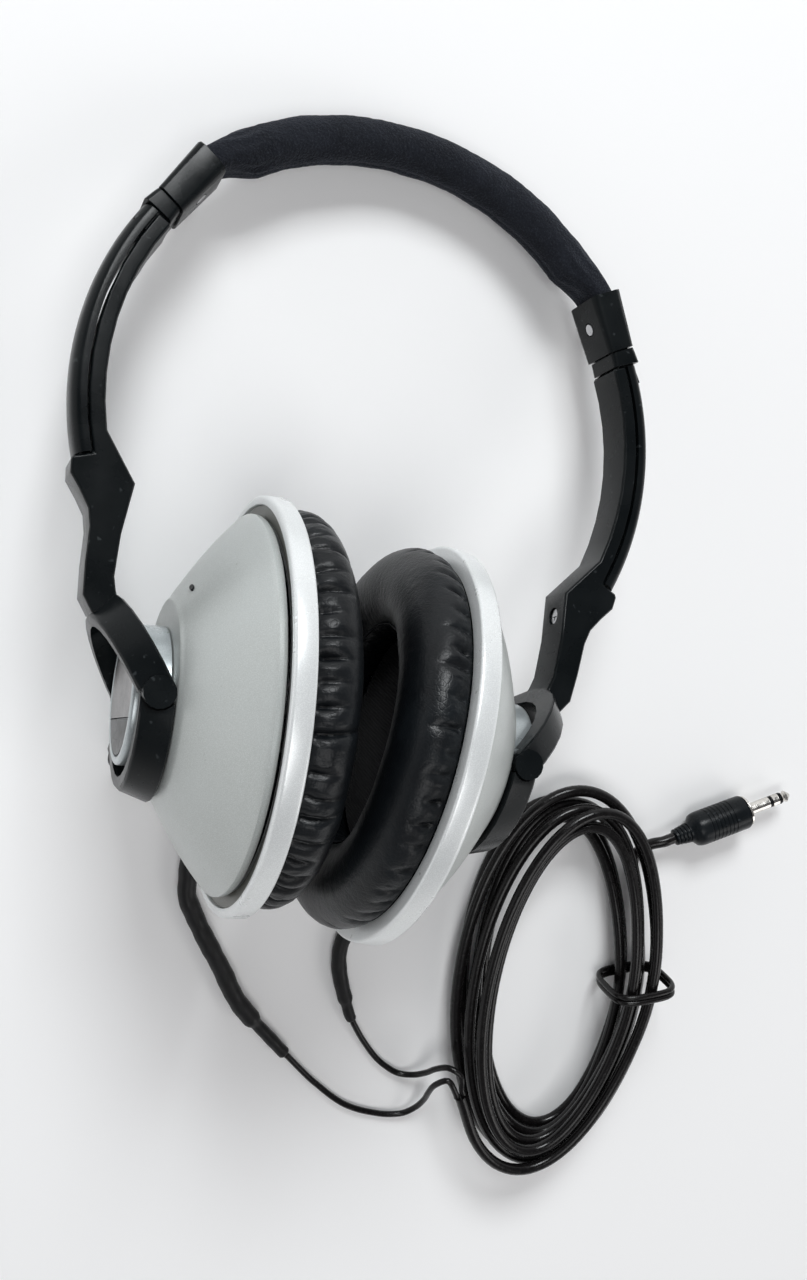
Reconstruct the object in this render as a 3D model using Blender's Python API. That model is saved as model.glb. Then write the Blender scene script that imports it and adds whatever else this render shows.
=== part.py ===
"""Around-ear radio headphones, lying on a table with their leads and coiled cord.

The headphones are drawn in a wearing frame, in millimetres: X to the wearer's left or right (the
right half is drawn, the left half is its mirror), Y towards the back of the head, Z up.  An empty
then lays that frame down, so that the cups' rims and the back of the headband lie on the table z = 0.
The cord is drawn in the table's own frame.  The mesh builder turns millimetres into metres.
"""
import bpy
import bmesh
import math
from mathutils import Matrix, Vector

MM = 0.001
GAP = 0.3                      # clearance between pieces that touch

# ---- headband and arms: one arch, drawn from its centre in the wearing frame
ARCH_CENTRE_Z = 70.0
ARCH_RADIUS = 67.1             # centreline of the padded band
CAP_MOUTH_ANGLE = 31.3         # degrees above horizontal, seen from the arch's centre
CAP_MOUTH_RADIUS = 66.3
CAP_LENGTH = 14.2
CAP_TOP_SHIFT = 0.7            # the cap's wide end stands this much outwards of the slide
SLIDE_ANGLE = 32.0             # degrees between the arm's slide and the vertical
BAND_END_SHIFT = 1.3           # the band's end is drawn outwards as it enters the cap
BAND_END_HALF = (3.25, 5.3)    # and squeezed to this half thickness and half depth
BAND_END_ANGLE = 42.9
ARM_TOP_ANGLE = 27.6
ARM_KNEE_ANGLE = -17.5         # where the arm's inner face meets the shelf of the elbow
SLEEVE_RADIUS = 5.3            # fabric tube round the band
SLEEVE_WALL = 0.6
BAND_SIDES = 10
SPRING_THICK = 0.8
SPRING_WIDTH = 6.0
SPRING_OFFSET = -2.3           # the steel lies towards the head
ARM_INNER_RADIUS = 62.3
ARM_SEAM_RADIUS = 65.8
ARM_OUTER_RADIUS = 69.7
ARM_HALF_DEPTH = 5.5
TONGUE_HALF = (2.2, 4.6)       # half thickness and half depth of the sliding tongue
STRIP_THICK = 0.8
STRIP_WIDTH = 4.2
STRIP_END = 21.0               # from the cap's mouth into the band
GUIDE_HALF = (1.1, 2.8)
GUIDE_START = 4.3
CHANNEL_LENGTH = 22.0          # from the cap's mouth to the end of the guide

# ---- cups: drawn from the pivot axis, X along the cup's own axis, outwards
PIVOT_AT = (40.8, -1.3)        # the right pivot axis, outwards and up from the rims' centre
CUP_TILT = {"l": 6.0, "r": 2.5}    # degrees that each cup leans in below
RIM_RADIUS = 45.5
RIM_WIDTH = 4.8
CONE_BASE_RADIUS = 42.2
DISC_RADIUS = 21.0
CUP_DEPTH = 21.2               # rim's cushion side to the flat end of the cone
PORT_RADIUS = 25.0             # the small vent port in the cone, from the cup's axis
PORT_ANGLE = 27.0              # and how far round from the top it stands
SHELL_WALL = 1.5
RING_OUTER = 22.3
RING_INNER = 17.4
RING_HALF_WIDTH = 3.35
RING_TAPER = 2.0               # how much smaller the ring is on its outward side
GLAND_ANGLE = 30.0             # degrees that the lead's gland stands below the back pivot
GLAND_RADIUS = 3.1
GLAND_END = 23.4               # from the pivot's middle
RELIEF_ROUTE = [(-0.5, 26.3, -13.9), (-1.8, 32.5, -13.2), (-3.0, 38.2, -11.6)]    # in the cup's frame
YOKE_LEAN = 36.0               # degrees between the yoke's half ring and the vertical
KNUCKLE_RADIUS = 3.35
KNUCKLE_SPLIT = 19.6           # |y| between the yoke's knuckle and the lug inside it
PIN_RADIUS = 1.1
BOSS_RADIUS = 15.0
BOSS_LENGTH = 7.6
HUB_RADIUS = 13.0              # the two plates let into the boss's face
HUB_CHORD = -5.2               # and the height at which they part
VENTS = 5                      # small holes in the baffle behind the cushion
CUSHION_DEPTH = 12.3
CUSHION_MID_RADIUS = 34.0
CUSHION_HALF_WIDTH = 9.8
PLEATS = 36
PLEAT_DEPTH = 1.3

# ---- lying on the table
BAND_TOP_Z = ARCH_CENTRE_Z + ARCH_RADIUS
LIE_ANGLE = math.asin((RIM_RADIUS - SLEEVE_RADIUS) / BAND_TOP_Z)
RIM_CENTRE_Z = RIM_RADIUS + 0.28    # the more tilted cup's rim touches the table
ORIGIN_Y = -45.3               # brings the origin under the middle of the headphones

# ---- cord, in the table's frame
LEAD_DIAMETER = 1.7
CORD_DIAMETER = 3.2
HANK_CENTRE = (99.0, -69.0)
HANK_LEAN = 17.8               # degrees the hank's long axis leans to the left
HANK_HALF = (57.0, 29.0)
HANK_TURNS = 7.43
HANK_START_ANGLE = 75.0
HANK_PITCH = 6.0               # a turn's step inwards or outwards
HANK_DRIFT = -2.0              # degrees that each turn lies round from the last
LAYER_RISE = 4.1
TURNS_PER_LAYER = 1.5
CLIMB_TURNS = 0.5
TIE_LIFT = 2.4                 # the runs rise over the tie's underside
TIE_AT = -4.0                  # along the hank's long axis
TIE_SECTION = (1.7, 3.4)
BOOT_ROUTE = {"l": [(-35.0, -26.6, 6.4), (-28.5, -30.0, 3.3), (-20.0, -33.0, 2.8), (-13.9, -39.5, 2.7),
                    (-12.0, -48.5, 2.7), (-10.2, -60.0, 2.7), (-8.2, -64.0, 2.7), (-4.0, -70.0, 2.7),
                    (4.4, -80.4, 2.7), (11.8, -89.7, 2.7), (17.5, -95.0, 2.4), (28.0, -102.7, 1.8)],
              "r": [(38.6, -26.0, 6.6), (39.6, -33.0, 2.9), (39.4, -46.0, 2.2), (37.2, -58.0, 2.2),
                    (35.2, -69.3, 2.2), (37.2, -77.8, 2.2), (41.1, -86.4, 2.2), (44.3, -90.5, 2.0)]}
BOOT_RADIUS = {"l": (2.45, 1.7), "r": (2.1, 1.5)}    # its thick part, then the worn end
BOOT_NARROW = {"l": 14.0, "r": 6.0}                 # length of the worn end
TAIL_ROUTE = [(118.5, -40.5, 2.3), (115.9, -34.2, 1.9), (115.4, -29.9, 2.2), (117.4, -26.3, 3.4)]
LEAD_ROUTE = {"l": [(38.5, -110.5, 1.0), (50.0, -116.8, 1.0), (61.5, -118.6, 1.0), (68.6, -116.8, 2.0),
                    (70.8, -110.8, 5.5), (69.8, -103.8, 10.5), (71.5, -99.7, 13.5), (74.0, -100.6, 14.1)],
              "r": [(50.5, -97.6, 1.2), (57.0, -103.0, 1.1), (64.0, -105.6, 1.6), (68.6, -103.0, 4.8),
                    (70.2, -98.6, 9.5), (73.0, -96.2, 13.2), (75.9, -98.1, 14.2)]}
PLUG_BACK = (124.3, -22.1)
PLUG_HEADING = 30.0            # degrees from +X
PLUG_RADIUS = 5.0
PLUG_LENGTH = 19.0
PLUG_BOOT_LENGTH = 5.0
JACK_RADIUS = 1.75
JACK_LENGTH = 14.0


# ------------------------------------------------------------------ scene and materials
for old in list(bpy.data.objects):
    bpy.data.objects.remove(old)


def material(name, colour, roughness, metallic=0.0):
    mat = bpy.data.materials.new(name)
    mat.use_nodes = True
    shader = mat.node_tree.nodes["Principled BSDF"]
    shader.inputs["Base Color"].default_value = (*colour, 1.0)
    shader.inputs["Roughness"].default_value = roughness
    shader.inputs["Metallic"].default_value = metallic
    mat.diffuse_color = (*colour, 1.0)
    return mat


BLACK_PLASTIC = material("black_plastic", (0.022, 0.025, 0.027), 0.42)
BLACK_RUBBER = material("black_rubber", (0.013, 0.013, 0.014), 0.6)
CORD_VINYL = material("cord_vinyl", (0.012, 0.012, 0.013), 0.3)
LEATHER = material("leather", (0.016, 0.018, 0.021), 0.45)
FABRIC = material("fabric", (0.03, 0.034, 0.048), 0.95)
FOAM = material("foam", (0.06, 0.06, 0.065), 1.0)
CLOTH = material("acoustic_cloth", (0.02, 0.02, 0.021), 0.95)
SILVER_PAINT = material("silver_paint", (0.62, 0.65, 0.65), 0.38, 0.25)
BRIGHT_SILVER = material("bright_silver", (0.8, 0.81, 0.82), 0.25, 0.7)
STEEL = material("steel", (0.55, 0.55, 0.56), 0.3, 1.0)
NICKEL = material("nickel", (0.72, 0.7, 0.66), 0.22, 1.0)
MAGNET = material("magnet", (0.1, 0.1, 0.105), 0.5, 0.6)
FILM = material("diaphragm_film", (0.55, 0.56, 0.58), 0.25, 0.1)


# ------------------------------------------------------------------ small builders
def empty(name, location, rotation=(0.0, 0.0, 0.0), parent=None):
    obj = bpy.data.objects.new(name, None)
    obj.location = Vector(location) * MM
    obj.rotation_euler = rotation
    obj.parent = parent
    bpy.context.scene.collection.objects.link(obj)
    return obj


def finish(bm, name, mat, parent, side=1, anchor=(0.0, 0.0, 0.0), sharp=35.0):
    """Turn a millimetre bmesh into an object; side -1 mirrors it to the left."""
    bmesh.ops.remove_doubles(bm, verts=bm.verts, dist=1e-5)
    for vert in bm.verts:
        vert.co = Vector((side * (vert.co.x - anchor[0]), vert.co.y - anchor[1], vert.co.z - anchor[2]))
    bmesh.ops.recalc_face_normals(bm, faces=bm.faces)
    if bm.calc_volume(signed=True) < 0:
        bmesh.ops.reverse_faces(bm, faces=bm.faces)
    bmesh.ops.scale(bm, vec=(MM, MM, MM), verts=bm.verts)
    mesh = bpy.data.meshes.new(name)
    bm.to_mesh(mesh)
    bm.free()
    mesh.materials.append(mat)
    mesh.shade_smooth()
    mesh.set_sharp_from_angle(angle=math.radians(sharp))
    obj = bpy.data.objects.new(name, mesh)
    obj.parent = parent
    bpy.context.scene.collection.objects.link(obj)
    return obj


def turned(profile, segments, start=0.0, sweep=360.0):
    """Spin a closed (axial, radius) outline about X; a half turn gets its two end faces."""
    bm = bmesh.new()
    about = Matrix.Rotation(math.radians(start), 3, "X")
    verts = [bm.verts.new(about @ Vector((axial, 0.0, radius))) for axial, radius in profile]
    edges = [bm.edges.new((verts[i], verts[(i + 1) % len(verts)])) for i in range(len(verts))]
    whole = sweep >= 360.0
    if not whole:
        bm.faces.new(verts)
    spun = bmesh.ops.spin(bm, geom=verts + edges, axis=(1, 0, 0), cent=(0, 0, 0), steps=segments,
                          angle=math.radians(sweep), use_merge=whole)
    if not whole:
        last = [item for item in spun["geom_last"] if isinstance(item, bmesh.types.BMVert)]
        bmesh.ops.contextual_create(bm, geom=last)
    bmesh.ops.dissolve_degenerate(bm, dist=1e-6, edges=bm.edges)
    return bm


def lofted(rings, closed=False, hollow_rings=None):
    """Skin a row of rings of points; hollow_rings gives the bore's own rings."""
    bm = bmesh.new()

    def skin(loops):
        made = [[bm.verts.new(point) for point in loop] for loop in loops]
        pairs = list(zip(made, made[1:]))
        if closed:
            pairs.append((made[-1], made[0]))
        for low, high in pairs:
            for i in range(len(low)):
                j = (i + 1) % len(low)
                bm.faces.new((low[i], low[j], high[j], high[i]))
        return made

    outer = skin(rings)
    if hollow_rings:
        inner = skin(hollow_rings)
        for end in (0, -1):
            for i in range(len(outer[end])):
                j = (i + 1) % len(outer[end])
                bm.faces.new((outer[end][i], outer[end][j], inner[end][j], inner[end][i]))
    elif not closed:
        bm.faces.new(outer[0])
        bm.faces.new(outer[-1])
    return bm


def extruded(outline, low, high):
    """A plate: an outline of (x, z) points between two depths y."""
    bm = bmesh.new()
    face = bm.faces.new([bm.verts.new((x, low, z)) for x, z in outline])
    grown = bmesh.ops.extrude_face_region(bm, geom=[face])
    moved = [item for item in grown["geom"] if isinstance(item, bmesh.types.BMVert)]
    bmesh.ops.translate(bm, verts=moved, vec=(0, high - low, 0))
    return bm


def rounded_box(half, corner, steps=2):
    """Points (u, v) of a rectangle with rounded corners."""
    points = []
    for quarter, (su, sv) in enumerate(((1, 1), (-1, 1), (-1, -1), (1, -1))):
        for i in range(steps + 1):
            turn = math.radians(90.0 * (quarter + i / steps))
            points.append((su * (half[0] - corner) + corner * math.cos(turn),
                           sv * (half[1] - corner) + corner * math.sin(turn)))
    return points


def circle(radius, sides):
    turns = [2 * math.pi * i / sides for i in range(sides)]
    return [(radius * math.cos(t), radius * math.sin(t)) for t in turns]


def place(section, origin, u_axis, v_axis):
    """A flat section of (u, v) points, stood in space on two axes."""
    return [Vector(origin) + u * Vector(u_axis) + v * Vector(v_axis) for u, v in section]


def boolean(obj, cutter, operation):
    cutter.hide_render = True
    cutter.display_type = "WIRE"
    mod = obj.modifiers.new(cutter.name, "BOOLEAN")
    mod.operation = operation
    mod.solver = "EXACT"
    mod.object = cutter


def bevel(obj, width, angle=40.0, segments=1):
    mod = obj.modifiers.new("bevel", "BEVEL")
    mod.width = width * MM
    mod.segments = segments
    mod.limit_method = "ANGLE"
    mod.angle_limit = math.radians(angle)


def arch_point(radius, angle, y=0.0):
    turn = math.radians(angle)
    return Vector((radius * math.cos(turn), y, ARCH_CENTRE_Z + radius * math.sin(turn)))


def arch_ring(section, radius, angle):
    """A section of (radial, depth) points, stood square to the arch."""
    turn = math.radians(angle)
    return place(section, arch_point(radius, angle), (math.cos(turn), 0, math.sin(turn)), (0, 1, 0))


def steps(first, last, count):
    return [first + (last - first) * i / count for i in range(count + 1)]


# ------------------------------------------------------------------ frames
SIDES = (("l", -1), ("r", 1))
CAP_MOUTH = arch_point(CAP_MOUTH_RADIUS, CAP_MOUTH_ANGLE)
LEAN_OUT = math.radians(SLIDE_ANGLE)
SLIDE = Vector((math.sin(LEAN_OUT), 0, -math.cos(LEAN_OUT)))      # the way the arm slides out
SLIDE_OUT = Vector((math.cos(LEAN_OUT), 0, math.sin(LEAN_OUT)))   # square to it, off the head
PIVOT_FROM_RIM = CUP_DEPTH + GAP + RING_HALF_WIDTH
PIVOT = Vector((PIVOT_AT[0], 0, PIVOT_AT[1]))
LEAN = math.radians(YOKE_LEAN)

lying = empty("lying_frame", (0, ORIGIN_Y, RIM_CENTRE_Z), (-(math.pi / 2 + LIE_ANGLE), 0, 0))
table = empty("table_frame", (0, ORIGIN_Y, 0))
slide_frames = {}
cup_frames = {}
for tag, side in SIDES:
    mouth = Vector((side * CAP_MOUTH.x, 0, CAP_MOUTH.z))
    pivot = Vector((side * PIVOT.x, 0, PIVOT.z))
    slide_frames[tag] = empty("arm_slide_" + tag, mouth, parent=lying)
    lean = (0, side * math.radians(CUP_TILT[tag]), 0)
    cup_frames[tag] = empty("cup_pivot_" + tag, pivot - mouth, lean, slide_frames[tag])


# ------------------------------------------------------------------ headband
def band_squeeze(angle):
    """0 over the padded part of the arch, 1 where the band enters a cap."""
    above_cap = min(angle, 180.0 - angle)
    blend = max(0.0, min(1.0, (53.0 - above_cap) / 9.0))
    return blend * blend * (3.0 - 2.0 * blend)


def band_ring(angle, inset, sides):
    """The padded band's section at an angle, smaller by an inset."""
    squeeze = band_squeeze(angle)
    radial = SLEEVE_RADIUS + (BAND_END_HALF[0] - SLEEVE_RADIUS) * squeeze - inset
    depth = SLEEVE_RADIUS + (BAND_END_HALF[1] - SLEEVE_RADIUS) * squeeze - inset
    boxy = 1.0 - 0.42 * squeeze
    section = []
    for i in range(sides):
        turn = 2 * math.pi * (i + 0.5) / sides
        across = math.copysign(abs(math.cos(turn)) ** boxy, math.cos(turn))
        along = math.copysign(abs(math.sin(turn)) ** boxy, math.sin(turn))
        section.append((radial * across, depth * along))
    return arch_ring(section, ARCH_RADIUS + BAND_END_SHIFT * squeeze, angle)


def spring_ring(angle, clearance):
    half = (SPRING_THICK / 2 + clearance, SPRING_WIDTH / 2 + clearance)
    corners = [(half[0], half[1]), (-half[0], half[1]), (-half[0], -half[1]), (half[0], -half[1])]
    return arch_ring(corners, ARCH_RADIUS + SPRING_OFFSET, angle)


def make_headband():
    """Fabric tube over foam, with the spring strip of steel let into the foam."""
    ends = [BAND_END_ANGLE, 44.4, 46.4, 48.5, 50.6, 53.0]
    angles = ends[:-1] + steps(ends[-1], 180.0 - ends[-1], 12) + [180.0 - a for a in reversed(ends[:-1])]
    outer = [band_ring(a, 0.0, BAND_SIDES) for a in angles]
    inner = [band_ring(a, SLEEVE_WALL, BAND_SIDES) for a in angles]
    finish(lofted(outer, hollow_rings=inner), "headband_sleeve", FABRIC, lying, sharp=60)

    rings = [spring_ring(a, 0.0) for a in steps(52.0, 128.0, 14)]
    finish(lofted(rings), "headband_spring", STEEL, lying)

    foam_angles = [44.5, 47.0, 50.0] + steps(53.0, 127.0, 10) + [130.0, 133.0, 135.5]
    rings = [band_ring(a, SLEEVE_WALL + GAP, BAND_SIDES) for a in foam_angles]
    foam = finish(lofted(rings), "headband_foam", FOAM, lying, sharp=60)
    rings = [spring_ring(a, GAP) for a in steps(51.6, 128.4, 14)]
    boolean(foam, finish(lofted(rings), "cut_spring_slot", FOAM, lying), "DIFFERENCE")
    for tag, side in SIDES:
        cutter = slide_box((GUIDE_HALF[0] + GAP, GUIDE_HALF[1] + GAP), 9.0, CHANNEL_LENGTH + GAP)
        boolean(foam, finish(cutter, "cut_guide_" + tag, FOAM, lying, side), "DIFFERENCE")


def slide_ring(section, depth, shift=0.0):
    """A section square to the slide, so far inside the cap's mouth."""
    return place(section, CAP_MOUTH - SLIDE * depth + SLIDE_OUT * shift, SLIDE_OUT, (0, 1, 0))


def slide_box(half, near, far, corner=0.25, shift=0.0):
    section = rounded_box(half, corner, 1)
    return lofted([slide_ring(section, near, shift), slide_ring(section, far, shift)])


def make_cap(tag, side):
    """Tapered moulding that closes the band's end; its guide for the steel strip runs on into the band."""
    def cutter(label, bm):
        return finish(bm, "cut_%s_%s" % (label, tag), FOAM, lying, side)

    mouth = rounded_box((3.6, 6.0), 1.3, 2)
    swell = rounded_box((3.9, 6.3), 1.6, 2)
    top = rounded_box((4.2, 6.4), 1.8, 2)
    rings = [slide_ring(mouth, 0.0, -0.3), slide_ring(swell, 7.5, 0.2),
             slide_ring(top, CAP_LENGTH, CAP_TOP_SHIFT)]
    cap = finish(lofted(rings), "end_cap_" + tag, BLACK_PLASTIC, lying, side)
    pocket = slide_box((3.6, 5.65), CAP_LENGTH - 1.5, CAP_LENGTH + 1.0, 1.5, CAP_TOP_SHIFT)
    boolean(cap, cutter("pocket", pocket), "DIFFERENCE")
    boolean(cap, cutter("guide_tube", slide_box(GUIDE_HALF, GUIDE_START + 1.0, CHANNEL_LENGTH)), "UNION")
    tongue = (TONGUE_HALF[0] + GAP, TONGUE_HALF[1] + GAP)
    boolean(cap, cutter("bore", slide_box(tongue, -1.0, GUIDE_START - GAP)), "DIFFERENCE")
    strip = (STRIP_THICK / 2 + GAP, STRIP_WIDTH / 2 + GAP)
    channel = slide_box(strip, GUIDE_START - 1.0, CHANNEL_LENGTH + 1.0, 0.1)
    boolean(cap, cutter("channel", channel), "DIFFERENCE")
    screw_at = CAP_MOUTH - SLIDE * 7.5 - SLIDE_OUT * 3.9
    boolean(cap, cutter("screw", drilled(screw_at, -SLIDE_OUT, 1.7, 0.9, 12)), "DIFFERENCE")
    head = drilled(screw_at + SLIDE_OUT * 0.8, -SLIDE_OUT, 1.4, -0.2, 12)
    finish(head, "cap_screw_" + tag, STEEL, lying, side)


def drilled(at, way, radius, reach, sides):
    """A cylinder from just outside a face to reach below it; way points out of the face."""
    way = Vector(way).normalized()
    across = way.cross(Vector((0, 1, 0))).normalized()
    up = way.cross(across)
    ends = [at + way * 0.6, at - way * reach]
    return lofted([place(circle(radius, sides), end, across, up) for end in ends])


# ------------------------------------------------------------------ arm, elbow and yoke
def arm_outline():
    """Side view of the arm's inner moulding: arc, shelf, spike, strut and back up the seam."""
    inner = [arch_point(ARM_INNER_RADIUS, a) for a in steps(ARM_TOP_ANGLE, ARM_KNEE_ANGLE, 8)]
    outer = [arch_point(ARM_SEAM_RADIUS, a) for a in steps(-21.5, ARM_TOP_ANGLE, 8)]
    up = Vector((math.sin(LEAN), 0, math.cos(LEAN)))
    out = Vector((math.cos(LEAN), 0, -math.sin(LEAN)))
    foot_in = PIVOT + up * 19.4 - out * 2.9
    foot_out = PIVOT + up * 19.4 + out * 2.9
    inner_strut = [(51.6, 41.6), (52.3, 30.5), (51.9, 21.5), (51.0, 18.6)]
    outer_strut = [(57.4, 16.4), (58.3, 23.0), (58.9, 30.6), (59.9, 34.2), (62.2, 37.4), (64.9, 40.6),
                   (65.45, 44.05)]
    points = [(p.x, p.z) for p in inner] + inner_strut
    points += [(foot_in.x, foot_in.z), (foot_out.x, foot_out.z)] + outer_strut
    return points + [(p.x, p.z) for p in outer]


def ring_profile():
    """Half ring's section: bore, cup face, tapered outside."""
    return [(-RING_HALF_WIDTH, RING_INNER), (-RING_HALF_WIDTH, RING_OUTER - 0.4),
            (-RING_HALF_WIDTH + 0.4, RING_OUTER), (RING_HALF_WIDTH - 0.6, RING_OUTER - RING_TAPER),
            (RING_HALF_WIDTH, RING_OUTER - RING_TAPER - 0.6), (RING_HALF_WIDTH, RING_INNER)]


def leaned(bm):
    """Stand a piece drawn about X at the yoke's own lean, on the pivot."""
    turn = Matrix.Rotation(LEAN, 4, "Y")
    bmesh.ops.transform(bm, matrix=Matrix.Translation(PIVOT) @ turn, verts=bm.verts)
    return bm


def across_y(radius, low, high, sides, centre=(0, 0, 0)):
    """A cylinder along Y between two depths."""
    ends = [Vector(centre) + Vector((0, y, 0)) for y in (low, high)]
    return lofted([place(circle(radius, sides), end, (1, 0, 0), (0, 0, 1)) for end in ends])


def make_arm(tag, side):
    """Sliding arm: inner moulding with elbow, yoke and knuckles, outer shell, collar, strip and pins."""
    frame = slide_frames[tag]
    anchor = CAP_MOUTH

    def piece(bm, name, mat=BLACK_PLASTIC):
        return finish(bm, name + "_" + tag, mat, frame, side, anchor)

    body = piece(extruded(arm_outline(), -ARM_HALF_DEPTH, ARM_HALF_DEPTH), "arm_frame")
    bevel(body, 0.6, 60.0)
    yoke = piece(leaned(turned(ring_profile(), 14, -90.0, 180.0)), "add_yoke")
    boolean(body, yoke, "UNION")
    for label, y_sign in (("front", -1), ("back", 1)):
        low, high = sorted((y_sign * (KNUCKLE_SPLIT + GAP / 2), y_sign * (RING_OUTER - 0.15)))
        knuckle = across_y(KNUCKLE_RADIUS, low, high, 16, PIVOT)
        boolean(body, piece(knuckle, "add_knuckle_" + label), "UNION")
        low, high = sorted((y_sign * 10.0, y_sign * (KNUCKLE_SPLIT + GAP / 2)))
        relief = across_y(KNUCKLE_RADIUS + 0.4, low, high, 16, PIVOT)
        boolean(body, piece(relief, "cut_lug_" + label), "DIFFERENCE")
        low, high = sorted((y_sign * 16.0, y_sign * 21.4))
        bore = across_y(PIN_RADIUS + GAP, low, high, 12, PIVOT)
        boolean(body, piece(bore, "cut_pin_" + label), "DIFFERENCE")
    root = slide_box(TONGUE_HALF, -9.0, GUIDE_START - 1.2)
    boolean(body, piece(root, "add_tongue"), "UNION")
    slot = slide_box((STRIP_THICK / 2 + GAP, STRIP_WIDTH / 2 + GAP), -7.0, GUIDE_START, 0.1)
    boolean(body, piece(slot, "cut_strip_slot"), "DIFFERENCE")
    recess_at = Vector((52.05, 0, 36.4))
    recess = drilled(recess_at, (-1, 0, -0.06), 2.1, 1.4, 14)
    boolean(body, piece(recess, "cut_elbow_screw"), "DIFFERENCE")

    head = drilled(recess_at + Vector((0.95, 0, 0.05)), (-1, 0, -0.06), 1.8, 0.1, 14)
    screw = piece(head, "elbow_screw", STEEL)
    cross = slide_cross(recess_at + Vector((0.35, 0, 0.02)))
    boolean(screw, piece(cross, "cut_cross"), "DIFFERENCE")

    dome = [(ARM_SEAM_RADIUS + GAP, -ARM_HALF_DEPTH), (67.8, -5.35), (68.9, -4.3), (69.5, -2.4),
            (ARM_OUTER_RADIUS, 0)]
    dome += [(r, -y) for r, y in reversed(dome[:-1])]
    shell_rings = []
    for angle in steps(-21.2, ARM_TOP_ANGLE, 12):
        shell_rings.append([arch_point(r, angle, y) for r, y in dome])
    shell = piece(lofted(shell_rings), "arm_shell")
    pocket = slide_box((TONGUE_HALF[0] + GAP, TONGUE_HALF[1] + GAP), -9.4, 8.0)
    boolean(shell, piece(pocket, "cut_tongue_pocket"), "DIFFERENCE")

    upper = slide_ring(rounded_box((3.35, 5.6), 1.2, 2), -GAP)
    mid = slide_ring(rounded_box((3.45, 5.65), 1.2, 2), -1.6)
    lower = [arch_point(66.35 + u, ARM_TOP_ANGLE + 0.28, v) for u, v in rounded_box((3.7, 5.6), 1.2, 2)]
    collar = piece(lofted([upper, mid, lower]), "stop_collar")
    opening = slide_box((TONGUE_HALF[0] + GAP, TONGUE_HALF[1] + GAP), -9.0, 8.0)
    boolean(collar, piece(opening, "cut_collar_bore"), "DIFFERENCE")

    piece(strip_with_notches(), "slider_strip", STEEL)
    for label, y_sign in (("front", -1), ("back", 1)):
        low, high = sorted((y_sign * (RING_INNER + 0.4), y_sign * 21.1))
        piece(across_y(PIN_RADIUS, low, high, 12, PIVOT), "pivot_pin_" + label, STEEL)


def slide_cross(at):
    """The cross slot of the elbow's screw, sunk into its head."""
    arm = 1.0
    half = 0.22
    plan = [(half, half), (half, arm), (-half, arm), (-half, half), (-arm, half), (-arm, -half),
            (-half, -half), (-half, -arm), (half, -arm), (half, -half), (arm, -half), (arm, half)]
    near = place(plan, at, (0, 0, 1), (0, 1, 0))
    far = place(plan, at + Vector((0.9, 0, 0)), (0, 0, 1), (0, 1, 0))
    return lofted([near, far])


def strip_with_notches():
    """Steel strip with a row of detent notches down both edges."""
    near, far = -6.6, STRIP_END
    half = STRIP_WIDTH / 2
    edge = []
    for i in range(6):
        centre = 7.0 + 2.6 * i
        edge += [(centre - 0.5, half), (centre, half - 0.5), (centre + 0.5, half)]
    outline = [(near, half)] + edge + [(far, half)]
    outline += [(s, -v) for s, v in reversed(outline)]
    faces = []
    for lift in (-STRIP_THICK / 2, STRIP_THICK / 2):
        faces.append([CAP_MOUTH - SLIDE * s + SLIDE_OUT * lift + Vector((0, v, 0)) for s, v in outline])
    return lofted(faces)


# ------------------------------------------------------------------ cup
def from_rim(points):
    """Outline points given as (distance from the rim's cushion side, radius)."""
    return [(axial - PIVOT_FROM_RIM, radius) for axial, radius in points]


def cone_outside(count):
    """Slightly bellied cone from its base to the flat end."""
    base = RIM_WIDTH + GAP
    points = []
    for t in steps(0.0, 1.0, count):
        axial = base + 0.7 + (CUP_DEPTH - 0.5 - base - 0.7) * t
        radius = CONE_BASE_RADIUS - (CONE_BASE_RADIUS - DISC_RADIUS - 0.4) * t + 1.3 * math.sin(math.pi * t)
        points.append((axial, radius))
    return points


def make_cone(tag, side):
    """Painted shell that closes the cup, with a small port near its flat end."""
    base = RIM_WIDTH + GAP
    wall_end = CUP_DEPTH - SHELL_WALL
    outside = [(base, CONE_BASE_RADIUS)] + cone_outside(3)
    outside += [(CUP_DEPTH, DISC_RADIUS - 0.1), (CUP_DEPTH, 0)]
    inside = [(a - 0.3, r - SHELL_WALL) for a, r in cone_outside(2)]
    inside = [(base, inside[0][1])] + inside[1:] + [(wall_end, inside[-1][1] - 1.5), (wall_end, 0)]
    profile = from_rim(outside + list(reversed(inside)))
    cone = finish(turned(profile, 36), "cone_shell_" + tag, SILVER_PAINT, cup_frames[tag], side)
    turn = math.radians(PORT_ANGLE)
    radial = Vector((0.0, -math.sin(turn), math.cos(turn)))
    around = Vector((0.0, math.cos(turn), math.sin(turn)))
    centre = Vector((CUP_DEPTH - 3.1 - PIVOT_FROM_RIM, 0, 0)) + radial * PORT_RADIUS
    section = rounded_box((0.6, 1.5), 0.45, 1)
    slot = lofted([place(section, centre + Vector((4, 0, 0)), radial, around),
                   place(section, centre - Vector((5, 0, 0)), radial, around)])
    boolean(cone, finish(slot, "cut_port_" + tag, SILVER_PAINT, cup_frames[tag], side), "DIFFERENCE")


def make_rim(tag, side):
    """Bright ring round the cup: flat outside, stepped inside to seat the baffle."""
    profile = from_rim([(0.0, RIM_RADIUS - 0.5), (0.5, RIM_RADIUS), (RIM_WIDTH - 0.6, RIM_RADIUS),
                        (RIM_WIDTH, RIM_RADIUS - 0.6), (RIM_WIDTH, 38.6), (1.8, 38.6), (1.8, 41.6),
                        (0.0, 41.6)])
    finish(turned(profile, 36), "rim_ring_" + tag, BRIGHT_SILVER, cup_frames[tag], side)


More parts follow.
